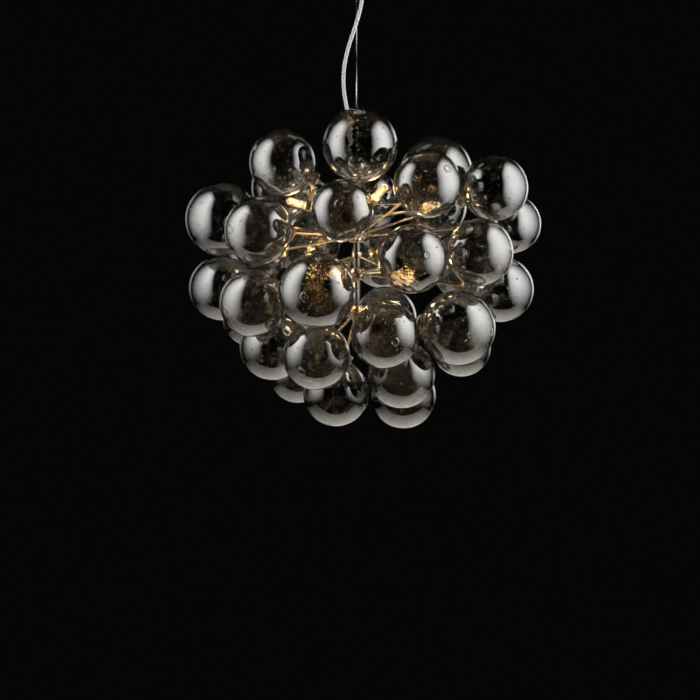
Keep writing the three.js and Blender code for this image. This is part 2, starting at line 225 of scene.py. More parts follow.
# %% [markdown]
# ## Floor and light
# The room of the photograph is nearly black, but the glass shows what stands in it: two tall soft boxes,
# one on either side, make the two grey-white streaks on each bubble, and a pale floor below makes the
# light patch with a crisp edge near its bottom. A second pair of boxes stands farther off and behind, and
# brightens the rims. Bright surroundings would grey the glass all over, so the world stays almost black
# and only these things shine. The floor has a lamp of its own that shines down on it, so the chandelier
# isn't lit from below by anything else.
# The soft boxes show in reflections only. Neither the camera nor a ray through the glass meets them, so
# they stay out of sight from every side.

# %% Floor
floor_below_middle = 1.6
floor_left, floor_right = -2.6, 2.4
floor_front, floor_back = -0.35, 5.0
floor_squares = 24

floor_height = cluster_height - floor_below_middle
floor_size = (floor_right - floor_left, floor_back - floor_front)
floor_middle = Vector(((floor_left + floor_right) / 2, (floor_front + floor_back) / 2, floor_height))
deselect_all()
bpy.ops.mesh.primitive_grid_add(
    x_subdivisions=floor_squares, y_subdivisions=floor_squares, size=1, location=floor_middle
)
floor = bpy.context.object
floor.name = "floor"
floor.scale = (*floor_size, 1)
bpy.ops.object.transform_apply(location=True, rotation=False, scale=True)
print("floor at", round(floor_height, 3))


# %% Node helpers
def add_node(tree, kind, inputs=None, **settings):
    """Adds a node, sets its options, and sets or links its inputs."""
    node = tree.nodes.new(kind)
    for label, value in settings.items():
        setattr(node, label, value)
    for label, value in (inputs or {}).items():
        if isinstance(value, bpy.types.NodeSocket):
            tree.links.new(value, node.inputs[label])
        else:
            node.inputs[label].default_value = value
    return node


def calculated(tree, operation, *values, **settings):
    """The outcome of one sum with sockets and plain numbers."""
    node = add_node(tree, "ShaderNodeMath", dict(enumerate(values)), operation=operation, **settings)
    return node.outputs["Value"]


def ramp(tree, value, start, end, low=0, high=1, shape="LINEAR"):
    """Goes from low to high while a value goes from start to end, and stays level beyond them."""
    marks = {"Value": value, "From Min": start, "From Max": end, "To Min": low, "To Max": high}
    return add_node(tree, "ShaderNodeMapRange", marks, interpolation_type=shape).outputs["Result"]


# %% Soft boxes
left_box = {
    "side": -1, "distance": 0.6, "front": -0.75, "back": 0.25, "bottom": -0.55, "radiance": 4.0,
    "fades": (0.5, 0.5), "rim": 0.6,
}
right_box = {
    "side": 1, "distance": 0.68, "front": -1.15, "back": 0.37, "bottom": -0.65, "radiance": 4.5,
    "fades": (0.58, 0.42), "rim": 2.2,
}
box_top = 1.3
box_bottom_fade, box_top_fade = 0.45, 0.35
rim_x, rim_y = 1.25, 1.75
rim_box_width = 1.3
rim_fade = 0.4
floor_radiance = 1.7
floor_lamp_lift = 0.6
floor_lamp_tint = (0.97, 0.98, 0.93)
floor_lamp_fades = (0.62, 0.3, 0.12, 0.3)
soft_box_tint = (1.0, 0.99, 0.975)


def soft_box(name, place, target, size, radiance, fades, tint=soft_box_tint):
    """A rectangular area light that shows in reflections only and fades towards its edges.

    The fades are shares of its size: at its own -X and +X sides, then at its -Y and +Y sides.
    """
    place = Vector(place)
    facing = (Vector(target) - place).to_track_quat("-Z", "Y").to_euler()
    bpy.ops.object.light_add(type="AREA", location=place, rotation=facing)
    light = bpy.context.object
    light.name = name
    light.data.shape = "RECTANGLE"
    light.data.size, light.data.size_y = size
    light.data.energy = radiance * math.pi * size[0] * size[1]
    light.data.color = tint
    light.data.use_nodes = True
    tree = light.data.node_tree
    surface = add_node(tree, "ShaderNodeNewGeometry")
    across = add_node(tree, "ShaderNodeSeparateXYZ", {"Vector": surface.outputs["Parametric"]})
    strength = 1
    for (axis, edge), fade in zip((("X", 0), ("X", 1), ("Y", 0), ("Y", 1)), fades):
        start, end = (1 - fade, 1) if edge else (0, fade)
        share = ramp(tree, across.outputs[axis], start, end, edge, 1 - edge, "SMOOTHSTEP")
        strength = calculated(tree, "MULTIPLY", share, strength)
    tree.links.new(strength, tree.nodes["Emission"].inputs["Strength"])
    light.visible_camera = False
    light.visible_transmission = False
    return light


for name, box in (("left", left_box), ("right", right_box)):
    box_height = box_top - box["bottom"]
    box_middle = cluster_height + (box_top + box["bottom"]) / 2
    along = (box["front"] + box["back"]) / 2
    print(name, "soft box", round(box_height, 2), "m high")
    soft_box(
        f"soft_box_{name}", (box["side"] * box["distance"], along, box_middle), (0, along, box_middle),
        (box["back"] - box["front"], box_height), box["radiance"],
        (*box["fades"][::box["side"]], box_bottom_fade, box_top_fade),
    )
    soft_box(
        f"rim_box_{name}", (box["side"] * rim_x, rim_y, box_middle), (0, 0, box_middle),
        (rim_box_width, box_height), box["rim"], (rim_fade, rim_fade, box_bottom_fade, box_top_fade),
    )
floor_lamp = soft_box(
    "floor_lamp", floor_middle + Vector((0, 0, floor_lamp_lift)), floor_middle, floor_size,
    floor_radiance, floor_lamp_fades, floor_lamp_tint,
)
floor_lamp.visible_glossy = False
print("floor lamp", round(floor_lamp_lift, 2), "m above the floor")

# %% Dark room and how light travels
world = bpy.data.worlds.new("dark_room")
scene.world = world
world.use_nodes = True
room_colour = (0.0016, 0.0018, 0.0018)
world.node_tree.nodes["Background"].inputs["Color"].default_value = (*room_colour, 1)

scene.view_settings.view_transform = "Standard"
scene.view_settings.look = "None"
scene.cycles.max_bounces = 40
scene.cycles.transmission_bounces = 36
scene.cycles.glossy_bounces = 12
scene.cycles.diffuse_bounces = 3
scene.cycles.transparent_max_bounces = 16
scene.cycles.caustics_reflective = True
scene.cycles.caustics_refractive = True
scene.cycles.sample_clamp_indirect = 6
scene.cycles.use_denoising = True
print("room brightness", [round(x, 4) for x in room_colour])

# %% [markdown]
# ## Effects that several finishes share
# Polished metal, glass and glazed ceramic are all handled at fitting, so they carry faint finger smears.
# Metal parts lose their polish on their edges, and dust settles on whatever faces up. Each effect is a
# node group that takes a scale and an amount, and it gives a mask that a finish uses as it likes.


# %% Smears of fingers
def new_effect(name, output):
    """A node group that takes a scale and an amount and puts out one number."""
    group = bpy.data.node_groups.new(name, "ShaderNodeTree")
    for label, way in (("Scale", "INPUT"), ("Amount", "INPUT"), (output, "OUTPUT")):
        group.interface.new_socket(name=label, in_out=way, socket_type="NodeSocketFloat")
    return group, group.nodes.new("NodeGroupInput").outputs, group.nodes.new("NodeGroupOutput").inputs


def put_out(group, mask, given, result):
    """Puts out a mask, multiplied by the amount that the effect is given."""
    group.links.new(calculated(group, "MULTIPLY", mask, given["Amount"]), result[0])


def own_place(tree):
    """The piece's own coordinates."""
    return add_node(tree, "ShaderNodeTexCoord").outputs["Object"]


def noise(tree, scale, detail, **more):
    """Cloudy noise on the piece's own coordinates."""
    inputs = {"Vector": own_place(tree), "Scale": scale, "Detail": detail, **more}
    return add_node(tree, "ShaderNodeTexNoise", inputs).outputs["Fac"]


finger_smears, given, result = new_effect("finger_smears", "Roughness")
broad = noise(finger_smears, given["Scale"], 5, Distortion=1.4)
put_out(finger_smears, ramp(finger_smears, broad, 0.45, 0.75), given, result)

# %% Dust on what faces up
settled_dust, given, result = new_effect("settled_dust", "Mask")
surface = add_node(settled_dust, "ShaderNodeNewGeometry")
upward = add_node(settled_dust, "ShaderNodeSeparateXYZ", {"Vector": surface.outputs["Normal"]})
facing_up = ramp(settled_dust, upward.outputs["Z"], 0.35, 1)
specks = noise(settled_dust, given["Scale"], 8, Roughness=0.7)
put_out(settled_dust, calculated(settled_dust, "MULTIPLY", facing_up, specks), given, result)

# %% Wear on edges
edge_wear, given, result = new_effect("edge_wear", "Mask")
surface = add_node(edge_wear, "ShaderNodeNewGeometry")
edges = ramp(edge_wear, surface.outputs["Pointiness"], 0.52, 0.62)
breakup = noise(edge_wear, given["Scale"], 6)
put_out(edge_wear, calculated(edge_wear, "MULTIPLY", edges, breakup), given, result)
print("shared effects:", [group.name for group in bpy.data.node_groups])


# %% Helpers for a finish
def new_finish(name, **constants):
    """A material with a Principled shader, whose plain sockets are set directly."""
    finish = bpy.data.materials.new(name)
    finish.use_nodes = True
    shader = finish.node_tree.nodes["Principled BSDF"]
    for label, value in constants.items():
        shader.inputs[label.replace("_", " ")].default_value = value
    return finish, finish.node_tree, shader


def with_effect(tree, effect, scale, amount):
    """Places one of the shared effects in a finish."""
    inputs = {"Scale": scale, "Amount": amount}
    return add_node(tree, "ShaderNodeGroup", inputs, node_tree=effect).outputs[0]


def mixed(tree, mask, first, second):
    """Mixes two colours by a mask."""
    return add_node(tree, "ShaderNodeMix", {0: mask, 6: first, 7: second}, data_type="RGBA").outputs[2]


def smeared(tree, shader, scale, amount, roughness):
    """Feeds the shader's roughness, raised where fingers left smears."""
    smears = with_effect(tree, finger_smears, scale, amount)
    tree.links.new(calculated(tree, "ADD", smears, roughness), shader.inputs["Roughness"])


def bumped(tree, shader, height, distance, strength):
    """Feeds a height to the shader's normal."""
    bump = add_node(tree, "ShaderNodeBump", {"Height": height, "Distance": distance, "Strength": strength})
    tree.links.new(bump.outputs["Normal"], shader.inputs["Normal"])


# %% [markdown]
# ## Smoked glass
# The bubbles are mouth-blown, smoked grey-brown and lightly mirrored, so they reflect far more than
# window glass and still show the arms and lamps behind. A high index of refraction gives that strength
# of reflection on a plain glass shader. The coating thins towards the neck, the wall is a little wavy,
# seeds of air sit in it, and the end across from the neck keeps the faint ring of the glassmaker's rod.
# Near the neck the wall is crinkled and warmer in colour.

# %% Smoked glass
glass_reflection_index = 2.3
glass_blur = 0.012
glass_relief = 0.0012
smoke_deep = (0.54, 0.52, 0.475, 1)
smoke_thin = (0.80, 0.78, 0.73, 1)
neck_amber = (0.92, 0.80, 0.60, 1)
neck_blur = 0.01
neck_crinkle = 1.9
inner_wave = 0.5
scar_edge = 0.035
scar_rise = 2.2


def map_axes(tree):
    """The two coordinates of the piece's own UV map, as X and Y."""
    unwrapped = add_node(tree, "ShaderNodeUVMap", uv_map="UVMap")
    return add_node(tree, "ShaderNodeSeparateXYZ", {"Vector": unwrapped.outputs["UV"]}).outputs


smoked_glass, tree, shader = new_finish(
    "smoked_glass", Metallic=0.0, Transmission_Weight=1.0, IOR=glass_reflection_index,
)
cloud = noise(tree, 9, 3)
towards_neck = map_axes(tree)["Y"]
fade = ramp(tree, towards_neck, 0.55, 1.0, 0, 0.7)
uneven = ramp(tree, cloud, 0.3, 0.8, 0, 0.3)
thinness = calculated(tree, "ADD", fade, uneven, use_clamp=True)
near_neck = ramp(tree, towards_neck, 0.74, 0.90)
smoke = mixed(tree, thinness, smoke_deep, smoke_thin)
tree.links.new(mixed(tree, near_neck, smoke, neck_amber), shader.inputs["Base Color"])
smears = with_effect(tree, finger_smears, 14, 0.05)
blurred = calculated(tree, "MULTIPLY_ADD", near_neck, neck_blur, smears)
tree.links.new(calculated(tree, "ADD", blurred, glass_blur), shader.inputs["Roughness"])


# %% Waves, seeds and crinkles in the glass
def cells(tree, scale):
    """Small cells: the distance from the middle of each, and a tone by chance."""
    pattern = add_node(tree, "ShaderNodeTexVoronoi", {"Vector": own_place(tree), "Scale": scale})
    colour = add_node(tree, "ShaderNodeSeparateColor", {"Color": pattern.outputs["Color"]})
    return pattern.outputs["Distance"], colour.outputs["Red"]


height = noise(tree, 22, 1)
for scale, share, edge, rise in ((170, 0.4, 0.16, 0.6), (90, 0.45, 0.13, 2.0), (55, 0.6, 0.11, 2.4)):
    distance, tone = cells(tree, scale)
    dots = ramp(tree, distance, edge / 2, edge, rise, 0)
    some = calculated(tree, "LESS_THAN", tone, share)
    height = calculated(tree, "MULTIPLY_ADD", dots, some, height)
scar, scar_foot = (
    ramp(tree, towards_neck, scar_edge * start, scar_edge * end, 0, scar_rise)
    for start, end in ((1.25, 1.0), (0.8, 0.6))
)
ring = calculated(tree, "SUBTRACT", scar, scar_foot)
height = calculated(tree, "MULTIPLY_ADD", ring, cloud, height)
inner = add_node(tree, "ShaderNodeAttribute", attribute_name="inner_wall")
for scale, mask, rise in ((80, near_neck, neck_crinkle), (42, inner.outputs["Fac"], inner_wave)):
    ripple = noise(tree, scale, 1, Distortion=1.6)
    height = calculated(tree, "MULTIPLY_ADD", ripple, calculated(tree, "MULTIPLY", mask, rise), height)
bumped(tree, shader, height, glass_relief, 0.5)
print("glass reflects", round(((glass_reflection_index - 1) / (glass_reflection_index + 1)) ** 2, 3))

# %% [markdown]
# ## Metals
# The canopy and the gripper are chromed, and the stem is dark nickel. The arms inside the cluster are
# uneven, as beaten nickel is, and their warm golden colour is partly painted reflection of the lamps' warm
# light. All of them come from one recipe with other colours. The hidden fittings are zinc-plated steel
# with its patchy crystals, and the terminal block's ways are brass.


# %% Chrome and nickel
def polished_metal(name, clean, worn, roughness, grain=400, grain_depth=0.00002):
    """A polished metal with finger smears, a little dust and worn edges."""
    metal, tree, shader = new_finish(name, Metallic=1.0)
    bright = mixed(tree, with_effect(tree, edge_wear, 300, 0.5), clean, worn)
    dusty = mixed(tree, with_effect(tree, settled_dust, 90, 0.12), bright, (0.5, 0.48, 0.45, 1))
    tree.links.new(dusty, shader.inputs["Base Color"])
    smeared(tree, shader, 45, 0.16, roughness)
    bumped(tree, shader, noise(tree, grain, 2), grain_depth, 0.4)
    return metal


chrome = polished_metal("polished_chrome", (0.84, 0.84, 0.83, 1), (0.62, 0.58, 0.52, 1), 0.06)
nickel = polished_metal("polished_nickel", (0.74, 0.61, 0.42, 1), (0.42, 0.33, 0.22, 1), 0.1)
# The arms' warm golden base colour is partly nickel's own tint and partly painted reflection of the lamps'
# warm light.
nickel_painted_lamp_warmth = polished_metal(
    "nickel_painted_lamp_warmth", (0.70, 0.56, 0.36, 1), (0.40, 0.30, 0.18, 1), 0.08, grain=150, grain_depth=0.003
)
dark_nickel = polished_metal("dark_nickel", (0.26, 0.22, 0.19, 1), (0.42, 0.33, 0.22, 1), 0.2)

# %% Zinc-plated steel
plated_steel, tree, shader = new_finish("plated_steel", Metallic=1.0)
crystals = cells(tree, 260)[1]
zinc = mixed(tree, crystals, (0.50, 0.51, 0.52, 1), (0.68, 0.69, 0.70, 1))
worn_zinc = mixed(tree, with_effect(tree, edge_wear, 240, 0.8), zinc, (0.36, 0.34, 0.32, 1))
tree.links.new(worn_zinc, shader.inputs["Base Color"])
smeared(tree, shader, 60, 0.2, 0.32)
drawn = add_node(tree, "ShaderNodeMapping", {"Vector": own_place(tree), "Scale": (60, 900, 900)})
lines = add_node(tree, "ShaderNodeTexNoise", {"Vector": drawn.outputs["Vector"], "Scale": 1, "Detail": 4})
bumped(tree, shader, lines.outputs["Fac"], 0.00004, 0.5)


# %% Brass
def mottled(name, grain, tones, smears, roughness, bump=0, dust=None, **constants):
    """A finish of two tones in small patches, with finger smears and perhaps dust.

    The grain is the scale and detail of the patches. Smears and dust are each a scale and an amount.
    """
    finish, tree, shader = new_finish(name, **constants)
    patches = noise(tree, *grain)
    colour = mixed(tree, patches, *tones)
    if dust:
        colour = mixed(tree, with_effect(tree, settled_dust, *dust), colour, (0.5, 0.47, 0.42, 1))
    tree.links.new(colour, shader.inputs["Base Color"])
    smeared(tree, shader, *smears, roughness)
    if bump:
        bumped(tree, shader, patches, bump, 0.5)
    return finish


brass = mottled(
    "brass", grain=(300, 5), tones=((0.83, 0.64, 0.33, 1), (0.52, 0.37, 0.19, 1)), smears=(90, 0.2),
    roughness=0.24, bump=0.00003, Metallic=1.0,
)

# %% [markdown]
# ## Wire steel and clear cord
# The strands are drawn steel, dulled in patches by grease.
# The cord's sheath is milky clear plastic. Its three cores twist inside it and show as soft, slanting
# bands, so the colour is read from the UV map: a stripe that turns as it goes along.

# %% Wire steel
wire_steel = mottled(
    "wire_steel", grain=(350, 5), tones=((0.38, 0.39, 0.40, 1), (0.20, 0.19, 0.18, 1)),
    smears=(120, 0.2), roughness=0.2, Metallic=1.0,
)

# %% Clear cord
core_twist = 0.045
cores = 3

clear_cord, tree, shader = new_finish(
    "clear_cord", Metallic=0.0, IOR=1.45, Subsurface_Weight=0.25, Subsurface_Scale=0.003,
    Coat_Weight=0.25, Coat_Roughness=0.12,
)
axes = map_axes(tree)
turns = calculated(tree, "MULTIPLY_ADD", axes["Y"], 1 / core_twist, axes["X"])
angle = calculated(tree, "MULTIPLY", turns, 2 * math.pi * cores)
core_mask = ramp(tree, calculated(tree, "SINE", angle), -0.9, 0.6)
milk = mixed(tree, core_mask, (0.40, 0.40, 0.38, 1), (0.66, 0.66, 0.63, 1))
hazy = mixed(tree, noise(tree, 130, 4), milk, (0.56, 0.55, 0.52, 1))
tree.links.new(hazy, shader.inputs["Base Color"])
smeared(tree, shader, 70, 0.25, 0.28)
bumped(tree, shader, core_mask, 0.0001, 0.5)

# %% Ceramic, silicone and floor
ceramic = mottled(
    "glazed_ceramic", grain=(220, 6), tones=((0.86, 0.83, 0.76, 1), (0.78, 0.74, 0.65, 1)),
    smears=(60, 0.2), roughness=0.3, bump=0.00006, dust=(120, 0.5),
    Metallic=0.0, Coat_Weight=0.3, Coat_Roughness=0.1,
)
silicone = mottled(
    "grey_silicone", grain=(900, 4), tones=((0.10, 0.10, 0.10, 1), (0.16, 0.155, 0.15, 1)),
    smears=(80, 0.2), roughness=0.45, bump=0.00003, Metallic=0.0, Sheen_Weight=0.2,
)
moulded_plastic = mottled(
    "moulded_plastic", grain=(700, 5), tones=((0.86, 0.82, 0.73, 1), (0.79, 0.74, 0.64, 1)),
    smears=(70, 0.2), roughness=0.38, bump=0.00003, dust=(140, 0.5), Metallic=0.0, IOR=1.5,
)
floor_finish, tree, shader = new_finish("pale_floor", Metallic=0.0, Roughness=0.7)
cloudy = mixed(tree, noise(tree, 3, 6), (0.64, 0.60, 0.58, 1), (0.72, 0.68, 0.66, 1))
tree.links.new(cloudy, shader.inputs["Base Color"])
floor.data.materials.append(floor_finish)
print("floor finish", floor_finish.name)

# %% [markdown]
# ## A helper for turned pieces
# Most of the fittings are turned on a lathe or spun: cups, caps, collars, sockets, screws. Each is made
# the same way by hand: a circle, extruded and resized from ring to ring along its profile. A profile that
# comes back to its first point closes into a ring, and one that ends on the axis closes at a point. The
# necks of the bubbles are drawn up from ring to ring in the same way.

# %% Turned pieces
same_point = 0.000002
on_axis = 0.00001


def arc(radius, start, end, steps, centre=(0, 0)):
    """Points (radius, height) of an arc about a centre, angles in degrees from the horizontal."""
    points = []
    for step in range(steps + 1):
        angle = math.radians(start + (end - start) * step / steps)
        points.append((centre[0] + radius * math.cos(angle), centre[1] + radius * math.sin(angle)))
    return points


def draw_up(radius, height, rings):
    """Extrudes the selected ring through rings of (radius, height), and tells the last height."""
    for next_radius, next_height in rings:
        bpy.ops.mesh.extrude_region_move(TRANSFORM_OT_translate={"value": (0, 0, next_height - height)})
        share = next_radius / radius
        bpy.ops.transform.resize(value=(share, share, 1), center_override=(0, 0, next_height))
        radius, height = next_radius, next_height
    return height


def draw_to_point(rise):
    """Extrudes the selected ring to a point on the axis."""
    bpy.ops.mesh.extrude_region_move(TRANSFORM_OT_translate={"value": (0, 0, rise)})
    bpy.ops.mesh.merge(type="CENTER")


def turned(name, profile, sides=48):
    """Draws a round piece up the Z axis from ring to ring of its profile of (radius, height)."""
    (radius, height), *rings = (point for point in profile if point[0] >= on_axis)
    deselect_all()
    bpy.ops.mesh.primitive_circle_add(vertices=sides, radius=radius, location=(0, 0, height))
    piece = bpy.context.object
    piece.name = piece.data.name = name
    bpy.ops.object.transform_apply(location=True)
    bpy.ops.object.mode_set(mode="EDIT")
    bpy.ops.mesh.select_mode(type="VERT")
    bpy.ops.mesh.select_all(action="SELECT")
    if profile[0][0] < on_axis:
        draw_to_point(profile[0][1] - height)
        bpy.ops.mesh.select_all(action="DESELECT")
        bpy.ops.mesh.select_non_manifold(extend=False)
    height = draw_up(radius, height, rings)
    if profile[-1][0] < on_axis:
        draw_to_point(profile[-1][1] - height)
    bpy.ops.mesh.select_all(action="SELECT")
    bpy.ops.mesh.remove_doubles(threshold=same_point)
    bpy.ops.mesh.normals_make_consistent(inside=False)
    bpy.ops.object.mode_set(mode="OBJECT")
    shade_smooth(35)
    return piece


def stand(piece, start, direction=(0, 0, 1), spin=0):
    """Turns a piece drawn up the Z axis to a direction and puts it on a starting point."""
    turn = Vector((0, 0, 1)).rotation_difference(Vector(direction)).to_matrix().to_4x4()
    piece.data.transform(Matrix.Translation(start) @ turn @ Matrix.Rotation(spin, 4, "Z"))
    return piece


def copied(piece, name):
    """A copy with a mesh of its own."""
    twin = piece.copy()
    twin.data = piece.data.copy()
    twin.name = twin.data.name = name
    bpy.context.collection.objects.link(twin)
    return twin


def fit(piece, finish, body, node=None):
    """Gives a piece its finish and the body it moves with, and hides the CAD node it stands for."""
    piece.data.materials.clear()
    piece.data.materials.append(finish)
    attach(piece, body)
    if node:
        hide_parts(node)


fit(suspension_wire, wire_steel, "pendant", "suspension_wire")
fit(power_cord, clear_cord, "pendant", "power_cord")

# %% [markdown]
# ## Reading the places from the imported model
# A bubble's CAD mesh is a ball with a neck. Its pole lies straight across from the middle of the neck's
# lip, and the lip's corners are all equally far from the pole and farther than anything else. So the two
# ends of its axis can be read from the mesh, and the axis leads back to its hub on the stem. The same
# holds for a lamp, with its round tip and the rim of its flat end.

# %% Axes of bubbles and lamps
same_distance = 0.00004


def ends_of(node):
    """The pole of a turned CAD piece and the middle of the rim at its other end."""
    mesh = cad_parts[node].data
    points = np.array([v.co[:] for v in mesh.vertices]).reshape(-1, 3)
    points = np.unique(np.round(points, 6), axis=0)
    gaps = np.linalg.norm(points[:, None] - points[None], axis=2)
    farthest = gaps.max()
    rims = (gaps > farthest - same_distance).sum(axis=1)
    pole = int(rims.argmax())
    rim = points[gaps[pole] > farthest - same_distance]
    return Vector(points[pole]), Vector(rim.mean(axis=0))


def height_on_stem(point, direction):
    """The height at which a line comes nearest to the stem's axis."""
    flat = Vector(direction[:2])
    return point.z - direction.z * Vector(point[:2]).dot(flat) / flat.length_squared


neck_height = 0.007
bubble_nodes = sorted(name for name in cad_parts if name.startswith("bubble_"))
bubbles = []
for node in bubble_nodes:
    pole, lip = ends_of(node)
    axis = (lip - pole).normalized()
    radius = ((lip - pole).length - neck_height) / 2
    bubbles.append(
        {"node": node, "pole": pole, "lip": lip, "axis": axis, "radius": radius,
         "hub": height_on_stem(lip, axis)}
    )
hub_heights = sorted({round(bubble["hub"], 3) for bubble in bubbles}, reverse=True)
moulds = sorted({round(bubble["radius"], 4) for bubble in bubbles})
print(len(bubbles), "bubbles, radii", moulds, "hub heights", hub_heights)

# %% [markdown]
# ## Glass bubbles
# A bubble is blown into one of three moulds, cracked off the pipe and fire-polished at its neck.
# It starts as a sphere. A cut square to the axis opens it, the open edge is drawn up into a neck with a
# soft hollow below it and a rounded lip above, and Solidify gives the wall its thickness inwards.
# Each mould is made once, and every bubble is a copy that is turned towards its hub.

# %% Glass bubbles
neck_radius = 0.013
glass_wall = 0.0016
glass_sides = 72
glass_rings = 36


def blown_bubble(radius):
    """A hollow glass bubble about the origin, with its neck pointing up."""
    deselect_all()
    bpy.ops.mesh.primitive_uv_sphere_add(segments=glass_sides, ring_count=glass_rings, radius=radius)
    bubble = bpy.context.object
    hollow_start = neck_radius * 1.16
    cut_height = math.sqrt(radius**2 - hollow_start**2)
    top = radius + neck_height
    bpy.ops.object.mode_set(mode="EDIT")
    bpy.ops.mesh.select_all(action="SELECT")
    bpy.ops.mesh.bisect(plane_co=(0, 0, cut_height), plane_no=(0, 0, 1), clear_outer=True)
    bpy.ops.mesh.select_all(action="DESELECT")
    bpy.ops.mesh.select_mode(type="VERT")
    bpy.ops.mesh.select_non_manifold(extend=False)
    draw_up(hollow_start, cut_height, [
        (neck_radius * 1.07, cut_height + 0.0006), (neck_radius * 1.015, cut_height + 0.0015),
        (neck_radius, cut_height + 0.0030), (neck_radius, top - 0.0022),
        (neck_radius + 0.00025, top - 0.0012), (neck_radius + 0.00025, top - 0.0005),
        (neck_radius - 0.0002, top - 0.0001), (neck_radius - 0.0008, top),
    ])
    bpy.ops.mesh.select_all(action="SELECT")
    bpy.ops.mesh.normals_make_consistent(inside=False)
    bpy.ops.object.mode_set(mode="OBJECT")
    wall = bubble.modifiers.new("wall", "SOLIDIFY")
    wall.thickness = glass_wall
    wall.offset = -1
    bpy.ops.object.modifier_apply(modifier="wall")
    shade_smooth(60)
    inner = bubble.data.attributes.new("inner_wall", "FLOAT", "POINT")
    for vertex, mark in zip(bubble.data.vertices, inner.data):
        mark.value = 1.0 if vertex.co.length < radius - glass_wall / 2 else 0.0
    return bubble


mould_pieces = {radius: blown_bubble(radius) for radius in moulds}
glass_faces = 0
for bubble in bubbles:
    name = bubble["node"].replace("bubble", "glass")
    piece = copied(mould_pieces[round(bubble["radius"], 4)], name)
    stand(piece, bubble["pole"] + bubble["axis"] * bubble["radius"], bubble["axis"])
    fit(piece, smoked_glass, "pendant", bubble["node"])
    glass_faces += len(piece.data.polygons)
for piece in mould_pieces.values():
    bpy.data.objects.remove(piece)
print("bubbles hold", glass_faces, "faces")

# %% [markdown]
# ## Arms, cups and hubs
# Each arm is a beaten nickel rod that screws into a ball on the stem. At its end a spun cup takes the
# bubble's neck, and a plug with two silicone rings holds the glass by friction.
# The cup, the plug and the rings are the same on every arm, so they are made once. The rods differ in
# length only. Everything of one tier is joined, as it stands for one CAD node.

# %% Cup and seals
seat_gap = 0.0003
cup_radius = 0.0145
rod_radius = 0.002
plug_radius = 0.0104
plug_depth = 0.005
seal_radius = 0.0007

cup_profile = [
    (rod_radius, -0.0125), (0.0036, -0.0125), (0.0041, -0.0120), (0.0041, -0.0098), (0.0036, -0.0093),
    (0.0030, -0.0090), (0.0032, -0.0080), (0.0048, -0.0070), (0.0082, -0.0060), (0.0116, -0.0046),
    (0.0136, -0.0031), (0.0143, -0.0022), (cup_radius, -0.0016), (cup_radius, -0.0006), (0.0143, -0.0001),
    (0.0139, 0.0), (0.0135, -0.0001), (0.0133, -0.0004), (plug_radius + 0.0004, -0.0004),
    (plug_radius, 0.0), (plug_radius, 0.0042), (plug_radius - 0.0004, 0.0048),
    (plug_radius - 0.0012, plug_depth), (0.0030, plug_depth), (0.0026, plug_depth - 0.0006),
    (0.0, plug_depth - 0.0006),
]
cup = turned("cup", cup_profile, sides=36)
seals = []
for height in (0.0013, 0.0032):
    ring = arc(seal_radius, -180, 180, 10, centre=(plug_radius + 0.0001, height))
    seals.append(turned("seal", ring, sides=36))
seal_pair = join_pieces("seal_pair", seals)
print("cup", len(cup.data.polygons), "faces")

# %% Hub balls with their arms
ball_radius = 0.015
ball_half_height = 0.011
ball_bore = 0.0063
groove_angle = 6
hub_names = ["crown", "upper", "lower", "bottom"]
stem_low, stem_high = (corner.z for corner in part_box("hub_stem"))


def hub_ball(closed_below):
    """A ball with flat ends and a turned groove, bored for the stem."""
    flat = math.degrees(math.asin(ball_half_height / ball_radius))
    groove = [(ball_radius, -0.0011), (ball_radius - 0.0005, -0.0008), (ball_radius - 0.0005, 0.0008),
              (ball_radius, 0.0011)]
    lower = arc(ball_radius, -flat, -groove_angle, 8)
    upper = arc(ball_radius, groove_angle, flat, 8)
    outline = [(lower[0][0] - 0.0006, -ball_half_height - 0.00005), *lower, *groove, *upper,
               (upper[-1][0] - 0.0006, ball_half_height + 0.00005), (ball_bore + 0.0004, ball_half_height),
               (ball_bore, ball_half_height - 0.0004)]
    if closed_below:
        return turned("ball", [(0.0, -ball_half_height), *outline, (ball_bore, 0.0), (0.0, 0.0)])
    return turned("ball", [(ball_bore, -ball_half_height), *outline, (ball_bore, -ball_half_height)])


for hub_name, hub_height in zip(hub_names, hub_heights):
    start = Vector((0, 0, hub_height))
    is_end = hub_height - ball_half_height < stem_low
    tier = [stand(hub_ball(is_end), start)]
    tier_seals = []
    for bubble in bubbles:
        if round(bubble["hub"], 3) != hub_height:
            continue
        seat = (bubble["lip"] - start).length - seat_gap
        outwards = -bubble["axis"]
        rod = turned(
            "rod",
            [(rod_radius, 0.010), (0.0033, 0.0125), (0.0036, 0.0130), (0.0036, 0.0172), (0.0033, 0.0176),
             (0.0027, 0.0180), (rod_radius, 0.0182), (rod_radius, seat - 0.0125)],
            sides=20,
        )
        tier.append(stand(rod, start, outwards))
        tier.append(stand(copied(cup, "cup"), start + outwards * seat, outwards))
        tier_seals.append(stand(copied(seal_pair, "seals"), start + outwards * seat, outwards))
    fit(join_pieces(f"arms_{hub_name}", tier), nickel_painted_lamp_warmth, "pendant", f"arm_hub_{hub_name}")
    fit(join_pieces(f"neck_seals_{hub_name}", tier_seals), silicone, "pendant")
    print(hub_name, len(tier_seals), "arms")
for piece in (cup, seal_pair):
    bpy.data.objects.remove(piece)

# %% [markdown]
# ## Lamps and their holders
# Two collars on the stem carry three short arms each. At the end a metal sleeve holds a ceramic insert
# for a capsule lamp. The lamp is a glass capsule on a pinched foot, with a glowing coil inside. The glass
# is rippled and shines unevenly. It shines far more into the bubbles than straight at the camera, as a
# photograph would otherwise show a plain white bar. A small light inside each capsule, which the camera
# doesn't see either, makes the glints on the glass and the arms.

# %% Lamp finishes
coil_strength = 0.6
haze_strength = 5.2
haze_warmth = (1.0, 0.79, 0.48)
haze_hollow = (0.20, 0.10, 0.02)
seen_directly = 0.32
rim_glow = 0.3


def dimmed(colour, share):
    """The colour with its brightness cut to a share, as the four numbers that a socket takes."""
    return (*(share * x for x in colour), 1)


